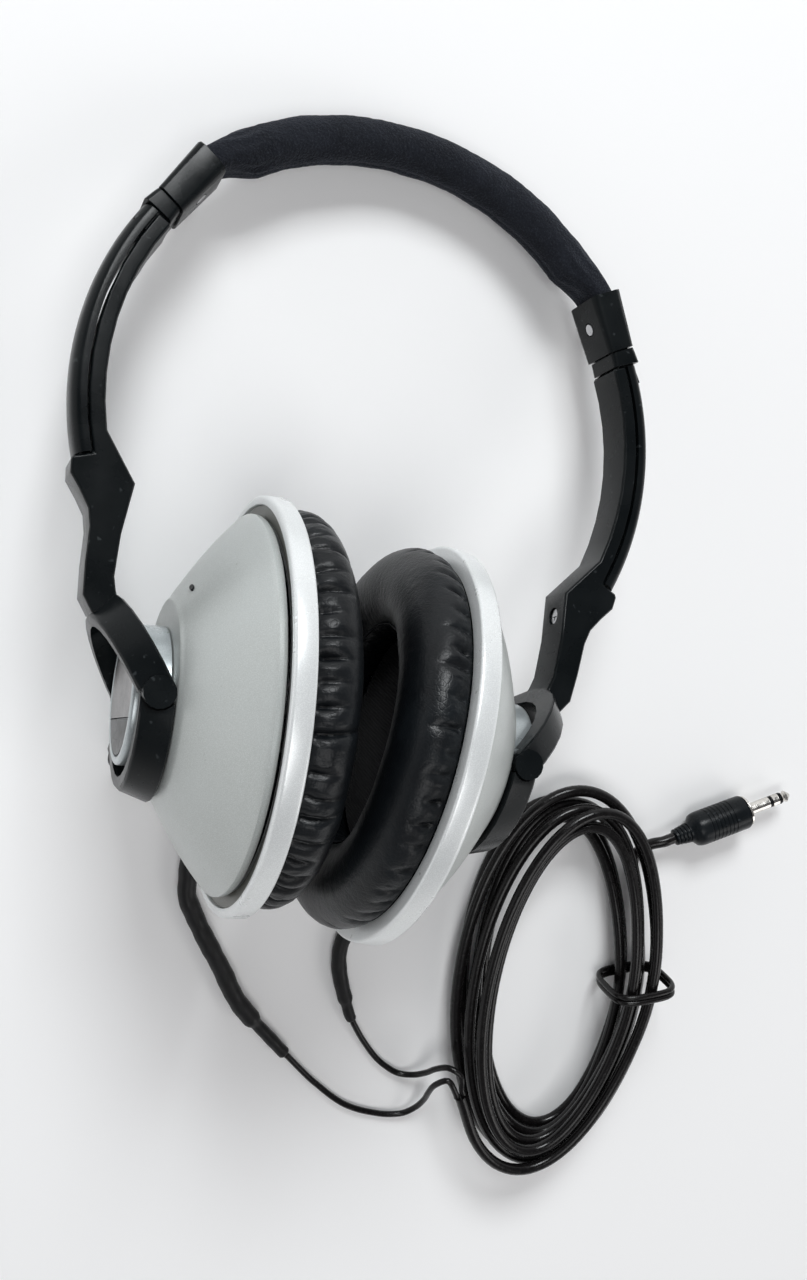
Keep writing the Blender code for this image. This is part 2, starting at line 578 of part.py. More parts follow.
def make_baffle(tag, side):
    """Plate between the cushion and the driver, with its ring of bass vents."""
    profile = from_rim([(0.0, 26.8), (0.0, 41.2), (1.5, 41.2), (1.5, 22.0), (0.6, 22.0), (0.6, 26.8)])
    baffle = finish(turned(profile, 24), "baffle_" + tag, BLACK_PLASTIC, cup_frames[tag], side)
    for i in range(VENTS):
        turn = 2 * math.pi * (i + 0.45) / VENTS
        centre = Vector((0, 31.0 * math.sin(turn), 31.0 * math.cos(turn)))
        ends = [centre + Vector((x - PIVOT_FROM_RIM, 0, 0)) for x in (-1, 3)]
        rings = [place(circle(1.6, 6), end, (0, 1, 0), (0, 0, 1)) for end in ends]
        hole = finish(lofted(rings), "cut_vent_%d_%s" % (i, tag), BLACK_PLASTIC, cup_frames[tag], side)
        boolean(baffle, hole, "DIFFERENCE")


def make_driver(tag, side):
    """Moving-coil driver: basket, magnet, domed film, and the cloth drawn over its front."""
    cup = cup_frames[tag]
    basket = from_rim([(1.8, 20.4), (1.8, 25.5), (3.0, 25.5), (3.0, 21.6), (7.2, 19.2), (8.4, 12.4),
                       (8.4, 6.2), (7.4, 6.2), (7.4, 11.6), (6.4, 18.0)])
    finish(turned(basket, 16), "driver_basket_" + tag, STEEL, cup, side)
    magnet = from_rim([(5.6, 0), (5.6, 5.6), (8.7, 5.6), (8.7, 11.5), (13.0, 11.5), (13.0, 0)])
    finish(turned(magnet, 16), "driver_magnet_" + tag, MAGNET, cup, side)
    front = [(2.2, 19.9), (1.4, 17.4), (2.6, 14.4), (3.3, 8.0), (1.5, 0)]
    back = [(a + 0.35, r) for a, r in reversed(front)]
    finish(turned(from_rim(front + back), 16), "driver_diaphragm_" + tag, FILM, cup, side)
    screen = from_rim([(-0.9, 0), (-0.9, 25.3), (-0.3, 25.3), (-0.3, 0)])
    finish(turned(screen, 16), "dust_screen_" + tag, CLOTH, cup, side)


def cushion_section(valley):
    """One slice of the ear cushion, from its outer foot over the crown to its inner foot."""
    points = []
    for spread in steps(-34.0, 214.0, 8):
        turn = math.radians(spread)
        radius = CUSHION_MID_RADIUS + CUSHION_HALF_WIDTH * math.cos(turn)
        depth = 4.6 + (CUSHION_DEPTH - 4.6) * math.sin(turn)
        if valley and spread < 75.0:
            fade = max(0.0, math.cos(math.radians(spread * 1.15)))
            radius -= PLEAT_DEPTH * fade
            depth -= 0.5 * PLEAT_DEPTH * max(0.0, math.sin(math.radians(spread))) * fade
        points.append((-depth - PIVOT_FROM_RIM, radius))
    return points


def make_cushion(tag, side):
    """Pleated ring: every second slice lies in the valley of a pleat."""
    rings = []
    for i in range(2 * PLEATS):
        turn = math.pi * i / PLEATS
        slice_points = cushion_section(i % 2 == 1)
        rings.append([Vector((a, r * math.sin(turn), r * math.cos(turn))) for a, r in slice_points])
    finish(lofted(rings, closed=True), "cushion_" + tag, LEATHER, cup_frames[tag], side, sharp=70)


def make_hub(tag, side):
    """Boss in the middle of the folding ring, its face a silver plate and a black insert along a chord."""
    cup = cup_frames[tag]
    base = -RING_HALF_WIDTH
    top = base + BOSS_LENGTH
    boss = [(base, 0), (base, BOSS_RADIUS), (top - 0.5, BOSS_RADIUS), (top, BOSS_RADIUS - 0.5),
            (top, 13.3), (top - 1.1, 13.3), (top - 1.1, 0)]
    finish(turned(boss, 28), "hub_boss_" + tag, BRIGHT_SILVER, cup, side)
    plate_turn = math.acos((HUB_CHORD + GAP / 2) / HUB_RADIUS)
    insert_turn = math.acos((HUB_CHORD - GAP / 2) / HUB_RADIUS)
    plates = (("hub_plate", SILVER_PAINT, steps(-plate_turn, plate_turn, 16)),
              ("hub_insert", BLACK_PLASTIC, steps(insert_turn, 2 * math.pi - insert_turn, 10)))
    for label, mat, turns in plates:
        disc = [(HUB_RADIUS * math.sin(t), HUB_RADIUS * math.cos(t)) for t in turns]
        ends = [[Vector((x, y, z)) for y, z in disc] for x in (top - 0.8, top - 0.1)]
        finish(lofted(ends), label + "_" + tag, mat, cup, side)


def make_lower_ring(tag, side):
    """The cup's half of the folding ring, with the lugs that the yoke's knuckles close over."""
    cup = cup_frames[tag]
    ring = finish(turned(ring_profile(), 14, 90.0, 180.0), "cup_ring_" + tag, BLACK_PLASTIC, cup, side)
    for label, y_sign in (("front", -1), ("back", 1)):
        inner = KNUCKLE_SPLIT - GAP / 2
        low, high = sorted((y_sign * inner, y_sign * 30.0))
        seat = finish(across_y(KNUCKLE_RADIUS + 0.35, low, high, 16), "cut_seat_%s_%s" % (label, tag),
                      BLACK_PLASTIC, cup, side)
        boolean(ring, seat, "DIFFERENCE")
        ledge = [(-6.0, -2.3), (6.0, -2.3), (6.0, 3.0), (-6.0, 3.0)]
        step = finish(extruded(ledge, low, high), "cut_step_%s_%s" % (label, tag), BLACK_PLASTIC, cup, side)
        boolean(ring, step, "DIFFERENCE")
        low, high = sorted((y_sign * (RING_INNER + 0.1), y_sign * inner))
        lug = finish(across_y(KNUCKLE_RADIUS - 0.05, low, high, 16), "add_lug_%s_%s" % (label, tag),
                     BLACK_PLASTIC, cup, side)
        boolean(ring, lug, "UNION")
        low, high = sorted((y_sign * 16.0, y_sign * 21.4))
        bore = finish(across_y(PIN_RADIUS + GAP, low, high, 12), "cut_bore_%s_%s" % (label, tag),
                      BLACK_PLASTIC, cup, side)
        boolean(ring, bore, "DIFFERENCE")
    way = gland_way()
    across = way.cross(Vector((1, 0, 0)))
    ends = [place(circle(GLAND_RADIUS, 14), way * r, (1, 0, 0), across) for r in (19.0, GLAND_END)]
    boolean(ring, finish(lofted(ends), "add_gland_" + tag, BLACK_PLASTIC, cup, side), "UNION")


# ------------------------------------------------------------------ cord
def catmull(points, spacing):
    """A smooth curve through the route's points, read at an even spacing."""
    route = [Vector(p) for p in points]
    ends = [2 * route[0] - route[1]] + route + [2 * route[-1] - route[-2]]
    fine = []
    for i in range(1, len(ends) - 2):
        p0, p1, p2, p3 = ends[i - 1:i + 3]
        for k in range(24):
            t = k / 24
            fine.append(0.5 * ((2 * p1) + (p2 - p0) * t + (2 * p0 - 5 * p1 + 4 * p2 - p3) * t * t
                               + (3 * p1 - p0 - 3 * p2 + p3) * t * t * t))
    fine.append(route[-1])
    total = sum((b - a).length for a, b in zip(fine, fine[1:]))
    count = max(2, round(total / spacing))
    out = [fine[0]]
    run = 0.0
    for a, b in zip(fine, fine[1:]):
        piece = (b - a).length
        while len(out) < count and run + piece >= total * len(out) / count:
            out.append(a + (b - a) * ((total * len(out) / count - run) / piece))
        run += piece
    return out[:count] + [fine[-1]]


def led(start, leaving, route, arriving, end, straight, spacing):
    """A smooth way between two ends, each straight for a little so that its face stays square."""
    first = start + leaving * straight
    last = end - arriving * straight
    return [start] + catmull([first] + [Vector(p) for p in route] + [last], spacing) + [end]


def gland_way():
    """The way out of the gland, in the cup's frame."""
    below = math.radians(GLAND_ANGLE)
    return Vector((0, math.cos(below), -math.sin(below)))


def relief_route(side):
    """The part of a lead's sleeve that its cup holds, from the gland, in the cup's frame."""
    way = gland_way()
    route = [way * (GLAND_END + GAP)] + catmull([way * (GLAND_END + GAP + 2.0)] + RELIEF_ROUTE, 3.5)
    return [Vector((side * p.x, p.y, p.z)) for p in route]


def path_length(points):
    return sum((b - a).length for a, b in zip(points, points[1:]))


def tube(name, points, radius, mat, parent, resolution=2, radii=None):
    """A round cord through points of its parent's frame."""
    curve = bpy.data.curves.new(name, "CURVE")
    curve.dimensions = "3D"
    curve.bevel_depth = radius * MM
    curve.bevel_resolution = resolution
    curve.use_fill_caps = True
    spline = curve.splines.new("POLY")
    spline.points.add(len(points) - 1)
    for i, point in enumerate(points):
        spline.points[i].co = (*(Vector(point) * MM), 1.0)
        spline.points[i].radius = radii[i] if radii else 1.0
    curve.materials.append(mat)
    obj = bpy.data.objects.new(name, curve)
    obj.parent = parent
    bpy.context.scene.collection.objects.link(obj)
    return obj


def hank_state(turn):
    """How far in the spiral stands and how high, for a count of turns from the plug's end."""
    period = TURNS_PER_LAYER + CLIMB_TURNS
    layer, within = divmod(turn, period)
    reach = min(within, TURNS_PER_LAYER) * HANK_PITCH
    if int(layer) % 2 == 1:
        reach = TURNS_PER_LAYER * HANK_PITCH - reach
    climb = max(0.0, within - TURNS_PER_LAYER) / CLIMB_TURNS
    return reach, CORD_DIAMETER / 2 + LAYER_RISE * (layer + climb)


LONG_AXIS = Vector((-math.sin(math.radians(HANK_LEAN)), math.cos(math.radians(HANK_LEAN)), 0))
WIDE_AXIS = Vector((math.cos(math.radians(HANK_LEAN)), math.sin(math.radians(HANK_LEAN)), 0))


def hank_point(turn):
    """One point of the hank: an oval loop that drifts round a little with each turn."""
    inset, height = hank_state(turn)
    angle = math.radians(HANK_START_ANGLE) + 2 * math.pi * turn
    along = (HANK_HALF[0] - inset) * math.cos(angle)
    wide = (HANK_HALF[1] - inset) * math.sin(angle)
    drift = math.radians(HANK_DRIFT * turn)
    cos, sin = math.cos(drift), math.sin(drift)
    along, wide = along * cos + wide * sin, wide * cos - along * sin
    if wide > 0:
        height += TIE_LIFT * math.exp(-((along - TIE_AT) / 22.0) ** 2) * min(1.0, wide / 8.0)
    return Vector((HANK_CENTRE[0], HANK_CENTRE[1], height)) + LONG_AXIS * along + WIDE_AXIS * wide


def hank_route():
    """The hank's points, level and straight at both ends, with the ways out of those ends."""
    count = round(HANK_TURNS * 24)
    points = [hank_point(HANK_TURNS * i / count) for i in range(count + 1)]
    first = points[0] - points[1]
    last = points[-1] - points[-2]
    first.z = 0
    last.z = 0
    first.normalize()
    last.normalize()
    return [points[0] + first * CORD_DIAMETER] + points + [points[-1] + last * CORD_DIAMETER], first, last


def least_gap(points, diameter):
    """Smallest clear distance from the tube to itself, away from its own bends."""
    lengths = [0.0]
    for a, b in zip(points, points[1:]):
        lengths.append(lengths[-1] + (b - a).length)
    fine = []
    for i, (a, b) in enumerate(zip(points, points[1:])):
        for k in range(4):
            fine.append((a.lerp(b, k / 4), lengths[i] + (b - a).length * k / 4))
    least = 1e9
    for i in range(len(fine)):
        for j in range(i + 1, len(fine)):
            if fine[j][1] - fine[i][1] > 4 * diameter:
                least = min(least, (fine[i][0] - fine[j][0]).length)
    return least - diameter


def make_cord():
    """Coiled cord with its plug, and a thin lead to each cup in a sleeve that the cup holds."""
    hank, start_way, end_way = hank_route()
    tube("cord_hank", hank, CORD_DIAMETER / 2, CORD_VINYL, table, resolution=1)
    gap = least_gap(hank, CORD_DIAMETER)
    print("cord_hank: %.0f mm long, least gap to itself %.2f mm" % (path_length(hank), gap))

    heading = math.radians(PLUG_HEADING)
    axis = Vector((math.cos(heading), math.sin(heading), 0))
    back = Vector((PLUG_BACK[0], PLUG_BACK[1], PLUG_RADIUS))
    tail_start = hank[0] + start_way * GAP
    tail_end = back - axis * GAP
    tail = led(tail_start, start_way, TAIL_ROUTE, axis, tail_end, CORD_DIAMETER, 3.0)
    tube("cord_tail", tail, CORD_DIAMETER / 2, CORD_VINYL, table)
    print("cord_tail: %.0f mm long" % path_length(tail))
    make_plug(back, axis)

    across = Vector((-end_way.y, end_way.x, 0))
    ends = {"l": hank[-1] + end_way * GAP + across, "r": hank[-1] + end_way * GAP - across}
    bpy.context.view_layer.update()
    for tag, side in SIDES:
        relief = relief_route(side)
        tube("strain_relief_" + tag, relief, BOOT_RADIUS[tag][0], BLACK_RUBBER, cup_frames[tag])
        to_table = table.matrix_world.inverted() @ cup_frames[tag].matrix_world
        relief = [(to_table @ (p * MM)) / MM for p in relief]
        down = (relief[-1] - relief[-2]).normalized()
        *route, before, end = [Vector(p) for p in BOOT_ROUTE[tag]]
        out_way = (end - before).normalized()
        boot = led(relief[-1] + down * GAP, down, route, out_way, end, 2.0, 5.0)
        big, small = BOOT_RADIUS[tag]
        narrow_from = path_length(boot) - BOOT_NARROW[tag]
        radii = [1.0 if path_length(boot[:i + 1]) < narrow_from else small / big for i in range(len(boot))]
        tube("boot_" + tag, boot, big, BLACK_RUBBER, table, radii=radii)
        first = end + out_way * GAP
        lead = led(first, out_way, LEAD_ROUTE[tag], -end_way, ends[tag], LEAD_DIAMETER, 4.6)
        tube("lead_" + tag, lead, LEAD_DIAMETER / 2, CORD_VINYL, table)
        print("lead_%s: %.0f mm, sleeve %.0f mm" % (tag, path_length(lead), path_length(relief + boot)))
    make_tie()


def make_tie():
    """One turn of cord round the hank's right-hand runs."""
    centre_wide = HANK_HALF[1] - 4.9
    half_wide = 9.2
    low = 0.9
    high = TIE_LIFT + CORD_DIAMETER + 3 * LAYER_RISE + 1.3
    half_high = (high - low) / 2
    shape = rounded_box((half_wide, half_high), 4.0, 3)
    opening = shape[10:] + shape[:10]
    rings = []
    centre = Vector((HANK_CENTRE[0], HANK_CENTRE[1], low + half_high))
    centre += LONG_AXIS * TIE_AT + WIDE_AXIS * centre_wide
    for u, v in opening[:-1]:
        outward = Vector((u / half_wide, v / half_high)).normalized()
        across = WIDE_AXIS * outward.x + Vector((0, 0, 1)) * outward.y
        point = centre + WIDE_AXIS * u + Vector((0, 0, 1)) * v
        section = rounded_box((TIE_SECTION[0] / 2, TIE_SECTION[1] / 2), 0.5, 1)
        rings.append(place(section, point, across, LONG_AXIS))
    finish(lofted(rings), "cord_tie", CORD_VINYL, table)


def make_plug(back, axis):
    """Moulded stereo plug on its side, with a contact's rings parted by black collars."""
    turn = Matrix.Rotation(math.radians(PLUG_HEADING), 4, "Z")
    where = Matrix.Translation(back) @ turn

    def piece(profile, name, mat, segments=20):
        bm = turned(profile, segments)
        bmesh.ops.transform(bm, matrix=where, verts=bm.verts)
        finish(bm, name, mat, table)

    neck = PLUG_BOOT_LENGTH
    front = neck + PLUG_LENGTH - 1.0
    piece([(0, 0), (0, 2.3), (neck, 3.0), (neck + 1.4, 4.6), (neck + 3.2, PLUG_RADIUS),
           (front, PLUG_RADIUS), (front, 0)], "plug_housing", BLACK_RUBBER)
    face = front + GAP
    piece([(face, 0), (face, 4.6), (face + 0.5, 4.6), (face + 0.8, 4.2), (face + 0.8, 2.6),
           (face + 1.4, 2.5), (face + 1.4, 0)], "plug_face", NICKEL)
    jack = face + 1.4
    core = 0.9
    bore = core + GAP
    collar = JACK_RADIUS - 0.05
    for name, near, far in (("jack_sleeve", jack + GAP, jack + 6.6),
                            ("jack_ring", jack + 7.4 + GAP, jack + 9.7)):
        piece([(near, bore), (near, JACK_RADIUS), (far, JACK_RADIUS), (far, bore)], name, NICKEL, 14)
    spool = [(jack + GAP, 0), (jack + GAP, core)]
    for near, far in ((6.6, 7.4), (9.7, 10.5)):
        low, high = jack + near + GAP, jack + far
        spool += [(low, core), (low, collar), (high, collar), (high, core)]
    piece(spool[:-1] + [(jack + 10.5, 0)], "jack_insulator", BLACK_PLASTIC, 14)
    start = jack + 10.5 + GAP
    piece([(start, 0), (start, 1.6), (start + 0.8, 1.25), (start + 1.5, JACK_RADIUS),
           (jack + JACK_LENGTH - 0.5, 0.7), (jack + JACK_LENGTH, 0)], "jack_tip", NICKEL, 16)


# ------------------------------------------------------------------ the whole thing
make_headband()
for tag, side in SIDES:
    make_cap(tag, side)
    make_arm(tag, side)
    make_lower_ring(tag, side)
    make_hub(tag, side)
    make_cone(tag, side)
    make_rim(tag, side)
    make_baffle(tag, side)
    make_driver(tag, side)
    make_cushion(tag, side)
make_cord()
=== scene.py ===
"""Radio headphones lying on a pale table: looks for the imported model, in metres, in its own frame."""
import bpy
import bmesh
import math
import random
from mathutils import Matrix, Vector, noise


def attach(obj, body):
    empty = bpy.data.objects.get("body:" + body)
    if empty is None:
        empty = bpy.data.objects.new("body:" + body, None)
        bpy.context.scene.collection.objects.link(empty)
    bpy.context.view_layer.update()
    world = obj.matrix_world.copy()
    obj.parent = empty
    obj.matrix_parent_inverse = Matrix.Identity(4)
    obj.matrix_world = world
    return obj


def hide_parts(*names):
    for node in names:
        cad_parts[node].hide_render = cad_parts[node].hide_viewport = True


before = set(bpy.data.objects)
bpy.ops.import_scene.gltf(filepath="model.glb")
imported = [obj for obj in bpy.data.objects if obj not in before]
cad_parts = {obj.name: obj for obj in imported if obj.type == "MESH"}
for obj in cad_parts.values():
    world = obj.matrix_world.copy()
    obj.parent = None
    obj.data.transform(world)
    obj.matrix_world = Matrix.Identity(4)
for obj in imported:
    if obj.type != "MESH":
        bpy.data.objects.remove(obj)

MM = 0.001
TAU = 2 * math.pi
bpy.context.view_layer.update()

# ------------------------------------------------------------------ sizes shared with the solids, in millimetres
GAP = 0.3                      # clearance between pieces that touch
ARCH_CENTRE_Z = 70.0
ARCH_RADIUS = 67.1             # centreline of the padded band
SLEEVE_RADIUS = 5.3
BAND_END_SHIFT = 1.3
BAND_END_HALF = (3.25, 5.3)
BAND_END_ANGLE = 42.9
RIM_RADIUS = 45.5
RIM_WIDTH = 4.8
RIM_CENTRE_Z = RIM_RADIUS + 0.28
CONE_BASE = 42.2
CUP_DEPTH = 21.2
DISC = 21.0                    # the cone's flat top
RING_HALF_WIDTH = 3.35
PORT_RADIUS = 25.0             # from the cup's axis
PORT_ANGLE = 27.0
ORIGIN_Y = -45.3
PIVOT = Vector((40.8, 0.0, -1.3))
CUP_TILT = {"l": 6.0, "r": 2.5}
PIVOT_FROM_RIM = CUP_DEPTH + GAP + RING_HALF_WIDTH
SIDES = (("l", -1), ("r", 1))
LIE_ANGLE = math.asin((RIM_RADIUS - SLEEVE_RADIUS) / (ARCH_CENTRE_Z + ARCH_RADIUS))
LYING = Matrix.Translation((0, ORIGIN_Y, RIM_CENTRE_Z)) @ Matrix.Rotation(-(math.pi / 2 + LIE_ANGLE), 4, "X")
TABLE = Matrix.Translation((0, ORIGIN_Y, 0))


def cup_matrix(tag, side):
    """From a cup's own millimetres to the table's."""
    place = Matrix.Translation((side * PIVOT.x, PIVOT.y, PIVOT.z))
    return LYING @ place @ Matrix.Rotation(side * math.radians(CUP_TILT[tag]), 4, "Y")


def cup_placer(tag, side):
    """A function from a point of the right cup, measured from its pivot, to this cup in the scene's metres."""
    to_world = cup_matrix(tag, side)
    return lambda x, y, z: (to_world @ Vector((side * x, y, z))) * MM


def on_table(points):
    return [(TABLE @ Vector(p)) * MM for p in points]


# ------------------------------------------------------------------ camera and light
CAMERA_PLACE = (-0.08278, 0.01606, 0.30714)
CAMERA_RIGHT = (0.9169, 0.2681, 0.2955)
CAMERA_DOWN = (0.2088, -0.9535, 0.2175)
FOCAL_SHARE = 1256.8 / 1280.0  # focal length over the picture's height
SENSOR = 36.0
AIM = (0.0, -0.03, 0.03)
LAMPS = (                      # name, place, aim, size, watts, colour
    ("window", (-0.25, 1.05, 0.85), (0.0, 0.0, 0.03), (0.55, 0.4), 14.0, (0.96, 0.985, 1.0)),
    ("fill", (0.95, -0.45, 0.75), AIM, (0.5, 0.5), 2.0, (1.0, 0.985, 0.97)),
    ("top", (-0.1, -0.25, 1.3), AIM, (0.7, 0.7), 4.6, (1, 1, 1)),
)


def linked(name, data):
    obj = bpy.data.objects.new(name, data)
    bpy.context.scene.collection.objects.link(obj)
    return obj


def add_camera():
    right = Vector(CAMERA_RIGHT).normalized()
    down = Vector(CAMERA_DOWN).normalized()
    back = right.cross(-down).normalized()
    turn = Matrix((right, back.cross(right), back)).transposed().to_4x4()
    turn.translation = Vector(CAMERA_PLACE)
    cam = bpy.data.cameras.new("camera")
    cam.sensor_fit = "AUTO"
    cam.sensor_width = SENSOR
    cam.lens = FOCAL_SHARE * SENSOR
    cam.clip_start = 0.01
    cam.clip_end = 20.0
    obj = linked("camera", cam)
    obj.matrix_world = turn
    bpy.context.scene.camera = obj


def area_light(name, place, target, size, power, colour):
    lamp = bpy.data.lights.new(name, "AREA")
    lamp.shape = "RECTANGLE"
    lamp.size, lamp.size_y = size
    lamp.energy = power
    lamp.color = colour
    obj = linked(name, lamp)
    obj.location = place
    obj.rotation_euler = (Vector(target) - Vector(place)).to_track_quat("-Z", "Y").to_euler()


# ------------------------------------------------------------------ node materials
def grey(value):
    return (value,) * 3


def ramp_node(nodes, links, source, stops):
    ramp = nodes.new("ShaderNodeValToRGB")
    for element, (at, colour) in zip(ramp.color_ramp.elements, (stops[0], stops[-1])):
        element.position = at
        element.color = (*colour, 1)
    for at, colour in stops[1:-1]:
        ramp.color_ramp.elements.new(at).color = (*colour, 1)
    links.new(source, ramp.inputs["Fac"])
    return ramp.outputs["Color"]


class Look:
    """A material's node tree, with short names for the nodes it is made of."""

    def __init__(self, name):
        self.mat = bpy.data.materials.new(name)
        self.mat.use_nodes = True
        self.nodes, self.links = self.mat.node_tree.nodes, self.mat.node_tree.links
        self.shader = self.nodes["Principled BSDF"]

    def texture(self, kind, numbers, stretch=None):
        """A texture in the piece's own metres."""
        tex = self.nodes.new(kind)
        for socket, value in numbers.items():
            tex.inputs[socket].default_value = value
        place = self.nodes.new("ShaderNodeTexCoord").outputs["Object"]
        if stretch:
            mapping = self.nodes.new("ShaderNodeMapping")
            mapping.inputs["Scale"].default_value = stretch
            self.links.new(place, mapping.inputs["Vector"])
            place = mapping.outputs["Vector"]
        self.links.new(place, tex.inputs["Vector"])
        return tex

    def noise(self, scale, detail=4.0, rough=0.55, stretch=None):
        numbers = {"Scale": scale, "Detail": detail, "Roughness": rough}
        return self.texture("ShaderNodeTexNoise", numbers, stretch).outputs["Fac"]

    def cells(self, scale, feature="F1"):
        cells = self.texture("ShaderNodeTexVoronoi", {"Scale": scale})
        cells.feature = feature
        return cells.outputs["Distance"]

    def ramp(self, source, *stops):
        return ramp_node(self.nodes, self.links, source, stops)

    def mixed(self, low, high, factor):
        mix = self.nodes.new("ShaderNodeMix")
        mix.data_type = "RGBA"
        self.links.new(factor, mix.inputs["Factor"])
        for socket, value in ((mix.inputs[6], low), (mix.inputs[7], high)):
            if isinstance(value, tuple):
                socket.default_value = (*value, 1)
            else:
                self.links.new(value, socket)
        return mix.outputs[2]

    def feed(self, socket, source):
        self.links.new(source, self.shader.inputs[socket])

    def set(self, socket, value):
        self.shader.inputs[socket].default_value = value

    def bump(self, heights, strength, distance):
        """Stack of height sources, from the coarsest to the finest, into the shader's normal."""
        last = None
        for source, share in heights:
            bump = self.nodes.new("ShaderNodeBump")
            bump.inputs["Strength"].default_value = strength * share
            bump.inputs["Distance"].default_value = distance
            self.links.new(source, bump.inputs["Height"])
            if last:
                self.links.new(last, bump.inputs["Normal"])
            last = bump.outputs["Normal"]
        self.feed("Normal", last)


def plastic(name, dark, light, rough, bump=0.10):
    """Moulded plastic: fine spark-eroded grain, cloudy tone, dust, and rubbed patches that shine a little more."""
    look = Look(name)
    body = look.ramp(look.noise(45.0, 3.0), (0.35, dark), (0.7, light))
    dust = look.ramp(look.noise(620.0, 2.0, 0.4), (0.70, grey(0)), (0.76, grey(1)))
    look.feed("Base Color", look.mixed(body, tuple(min(1.0, c * 2.2 + 0.01) for c in light), dust))
    rub = look.noise(90.0)
    look.feed("Roughness", look.ramp(rub, (0.3, grey(rough - 0.07)), (0.7, grey(rough + 0.07))))
    look.bump([(rub, 0.4), (look.noise(1800.0, 2.0), 1.0)], bump, 0.00012)
    look.set("Specular IOR Level", 0.15)
    return look.mat


def silver_paint(name, base, shade, metallic, rough, wear=0.35):
    """Fine metallic paint: flake sparkle, faint orange peel, small chips and a dusty tone."""
    look = Look(name)
    body = look.ramp(look.noise(28.0, 3.0), (0.32, shade), (0.68, base))
    flake = look.noise(5200.0, 1.0, 0.4)
    sparkle = look.ramp(flake, (0.40, grey(0)), (0.75, grey(1)))
    painted = look.mixed(body, tuple(min(1.0, c * 1.12 + 0.02) for c in base), sparkle)
    chip = look.ramp(look.noise(330.0, 3.0, 0.5), (0.735, grey(0)), (0.76, grey(wear)))
    look.feed("Base Color", look.mixed(painted, (0.23, 0.23, 0.22), chip))
    smear = look.noise(60.0, 5.0)
    look.feed("Roughness", look.ramp(smear, (0.3, grey(rough - 0.06)), (0.75, grey(rough + 0.1))))
    look.bump([(look.noise(700.0, 2.0), 0.6), (flake, 0.5)], 0.06, 0.0001)
    look.set("Metallic", metallic)
    look.set("Coat Weight", 0.25)
    look.set("Coat Roughness", 0.3)
    return look.mat


def metal(name, colour, dull, rough, brushed=(1, 1, 1)):
    """Bare or plated metal with fine drawn lines and slight tarnish."""
    look = Look(name)
    look.feed("Base Color", look.ramp(look.noise(160.0), (0.3, dull), (0.65, colour)))
    lines = look.noise(500.0, 3.0, 0.6, brushed)
    look.feed("Roughness", look.ramp(lines, (0.3, grey(rough - 0.06)), (0.7, grey(rough + 0.12))))
    look.bump([(lines, 1.0)], 0.12, 0.00008)
    look.set("Metallic", 1.0)
    return look.mat


def leatherette(name):
    """Soft black leatherette: pebbled cells, stretched wrinkles with painted shade in their low parts, and a sheen
    on what is rubbed.
    """
    look = Look(name)
    pebble = look.ramp(look.cells(950.0, "DISTANCE_TO_EDGE"), (0.0, grey(0)), (0.16, grey(1)))
    creases = look.noise(170.0, 5.0, 0.65)
    worn = look.noise(38.0, 3.0)
    colour = look.ramp(worn, (0.35, (0.0022, 0.0030, 0.0040)), (0.72, (0.0062, 0.0082, 0.0100)))
    # Painted shade: the colour mixes towards near-black in the low parts of the crease bump.
    painted_crease_shade = look.ramp(creases, (0.32, grey(0.35)), (0.55, grey(1)))
    look.feed("Base Color", look.mixed((0.0015, 0.002, 0.003), colour, painted_crease_shade))
    look.feed("Roughness", look.ramp(worn, (0.3, grey(0.43)), (0.7, grey(0.33))))
    look.bump([(creases, 1.0), (pebble, 0.3)], 0.35, 0.00035)
    look.set("Specular IOR Level", 0.24)
    look.set("Coat Weight", 0.05)
    look.set("Coat Roughness", 0.3)
    return look.mat


def brushed_fabric(name):
    """Navy-black suede-like knit: short nap with grey fibre tips all over, and a fine rib."""
    look = Look(name)
    nap = look.noise(2600.0, 4.0, 0.75)
    patches = look.noise(120.0, 5.0, 0.7)
    tone = look.ramp(patches, (0.3, (0.0030, 0.0042, 0.0075)), (0.7, (0.0085, 0.0105, 0.0165)))
    fibres = look.ramp(nap, (0.52, grey(0)), (0.74, grey(0.75)))
    look.feed("Base Color", look.mixed(tone, (0.040, 0.046, 0.058), fibres))
    look.bump([(patches, 0.5), (look.cells(1500.0), 0.5), (nap, 1.0)], 0.8, 0.0005)
    look.set("Roughness", 0.92)
    look.set("Specular IOR Level", 0.25)
    look.set("Sheen Weight", 0.14)
    look.set("Sheen Roughness", 0.35)
    look.set("Sheen Tint", (0.62, 0.68, 0.8, 1))
    return look.mat


def vinyl(name, colour, rough):
    """Cord vinyl: nearly smooth, with faint drag marks, dust and a soft highlight."""
    look = Look(name)
    cloud = look.noise(260.0, 3.0)
    look.feed("Base Color", look.ramp(cloud, (0.35, colour), (0.75, tuple(c * 1.9 for c in colour))))
    drag = look.noise(900.0, 3.0)
    look.feed("Roughness", look.ramp(drag, (0.3, grey(rough - 0.05)), (0.7, grey(rough + 0.12))))
    look.bump([(cloud, 0.5), (drag, 0.4)], 0.05, 0.0001)
    look.set("Specular IOR Level", 0.28)
    return look.mat


def weave(name):
    """Open acoustic cloth in front of a driver: two crossing sets of threads."""
    look = Look(name)
    both = look.nodes.new("ShaderNodeMath")
    both.operation = "MULTIPLY"
    for socket, axis in zip(both.inputs, ("Y", "Z")):
        wave = look.texture("ShaderNodeTexWave", {"Scale": 420.0, "Distortion": 0.6})
        wave.bands_direction = axis
        look.links.new(wave.outputs["Fac"], socket)
    threads = both.outputs["Value"]
    look.feed("Base Color", look.ramp(threads, (0.1, (0.03, 0.03, 0.032)), (0.6, (0.004, 0.004, 0.005))))
    look.bump([(threads, 1.0)], 0.7, 0.0003)
    look.set("Roughness", 0.9)
    return look.mat


BACKDROP = 0.94                # the grey of the backdrop and the horizon


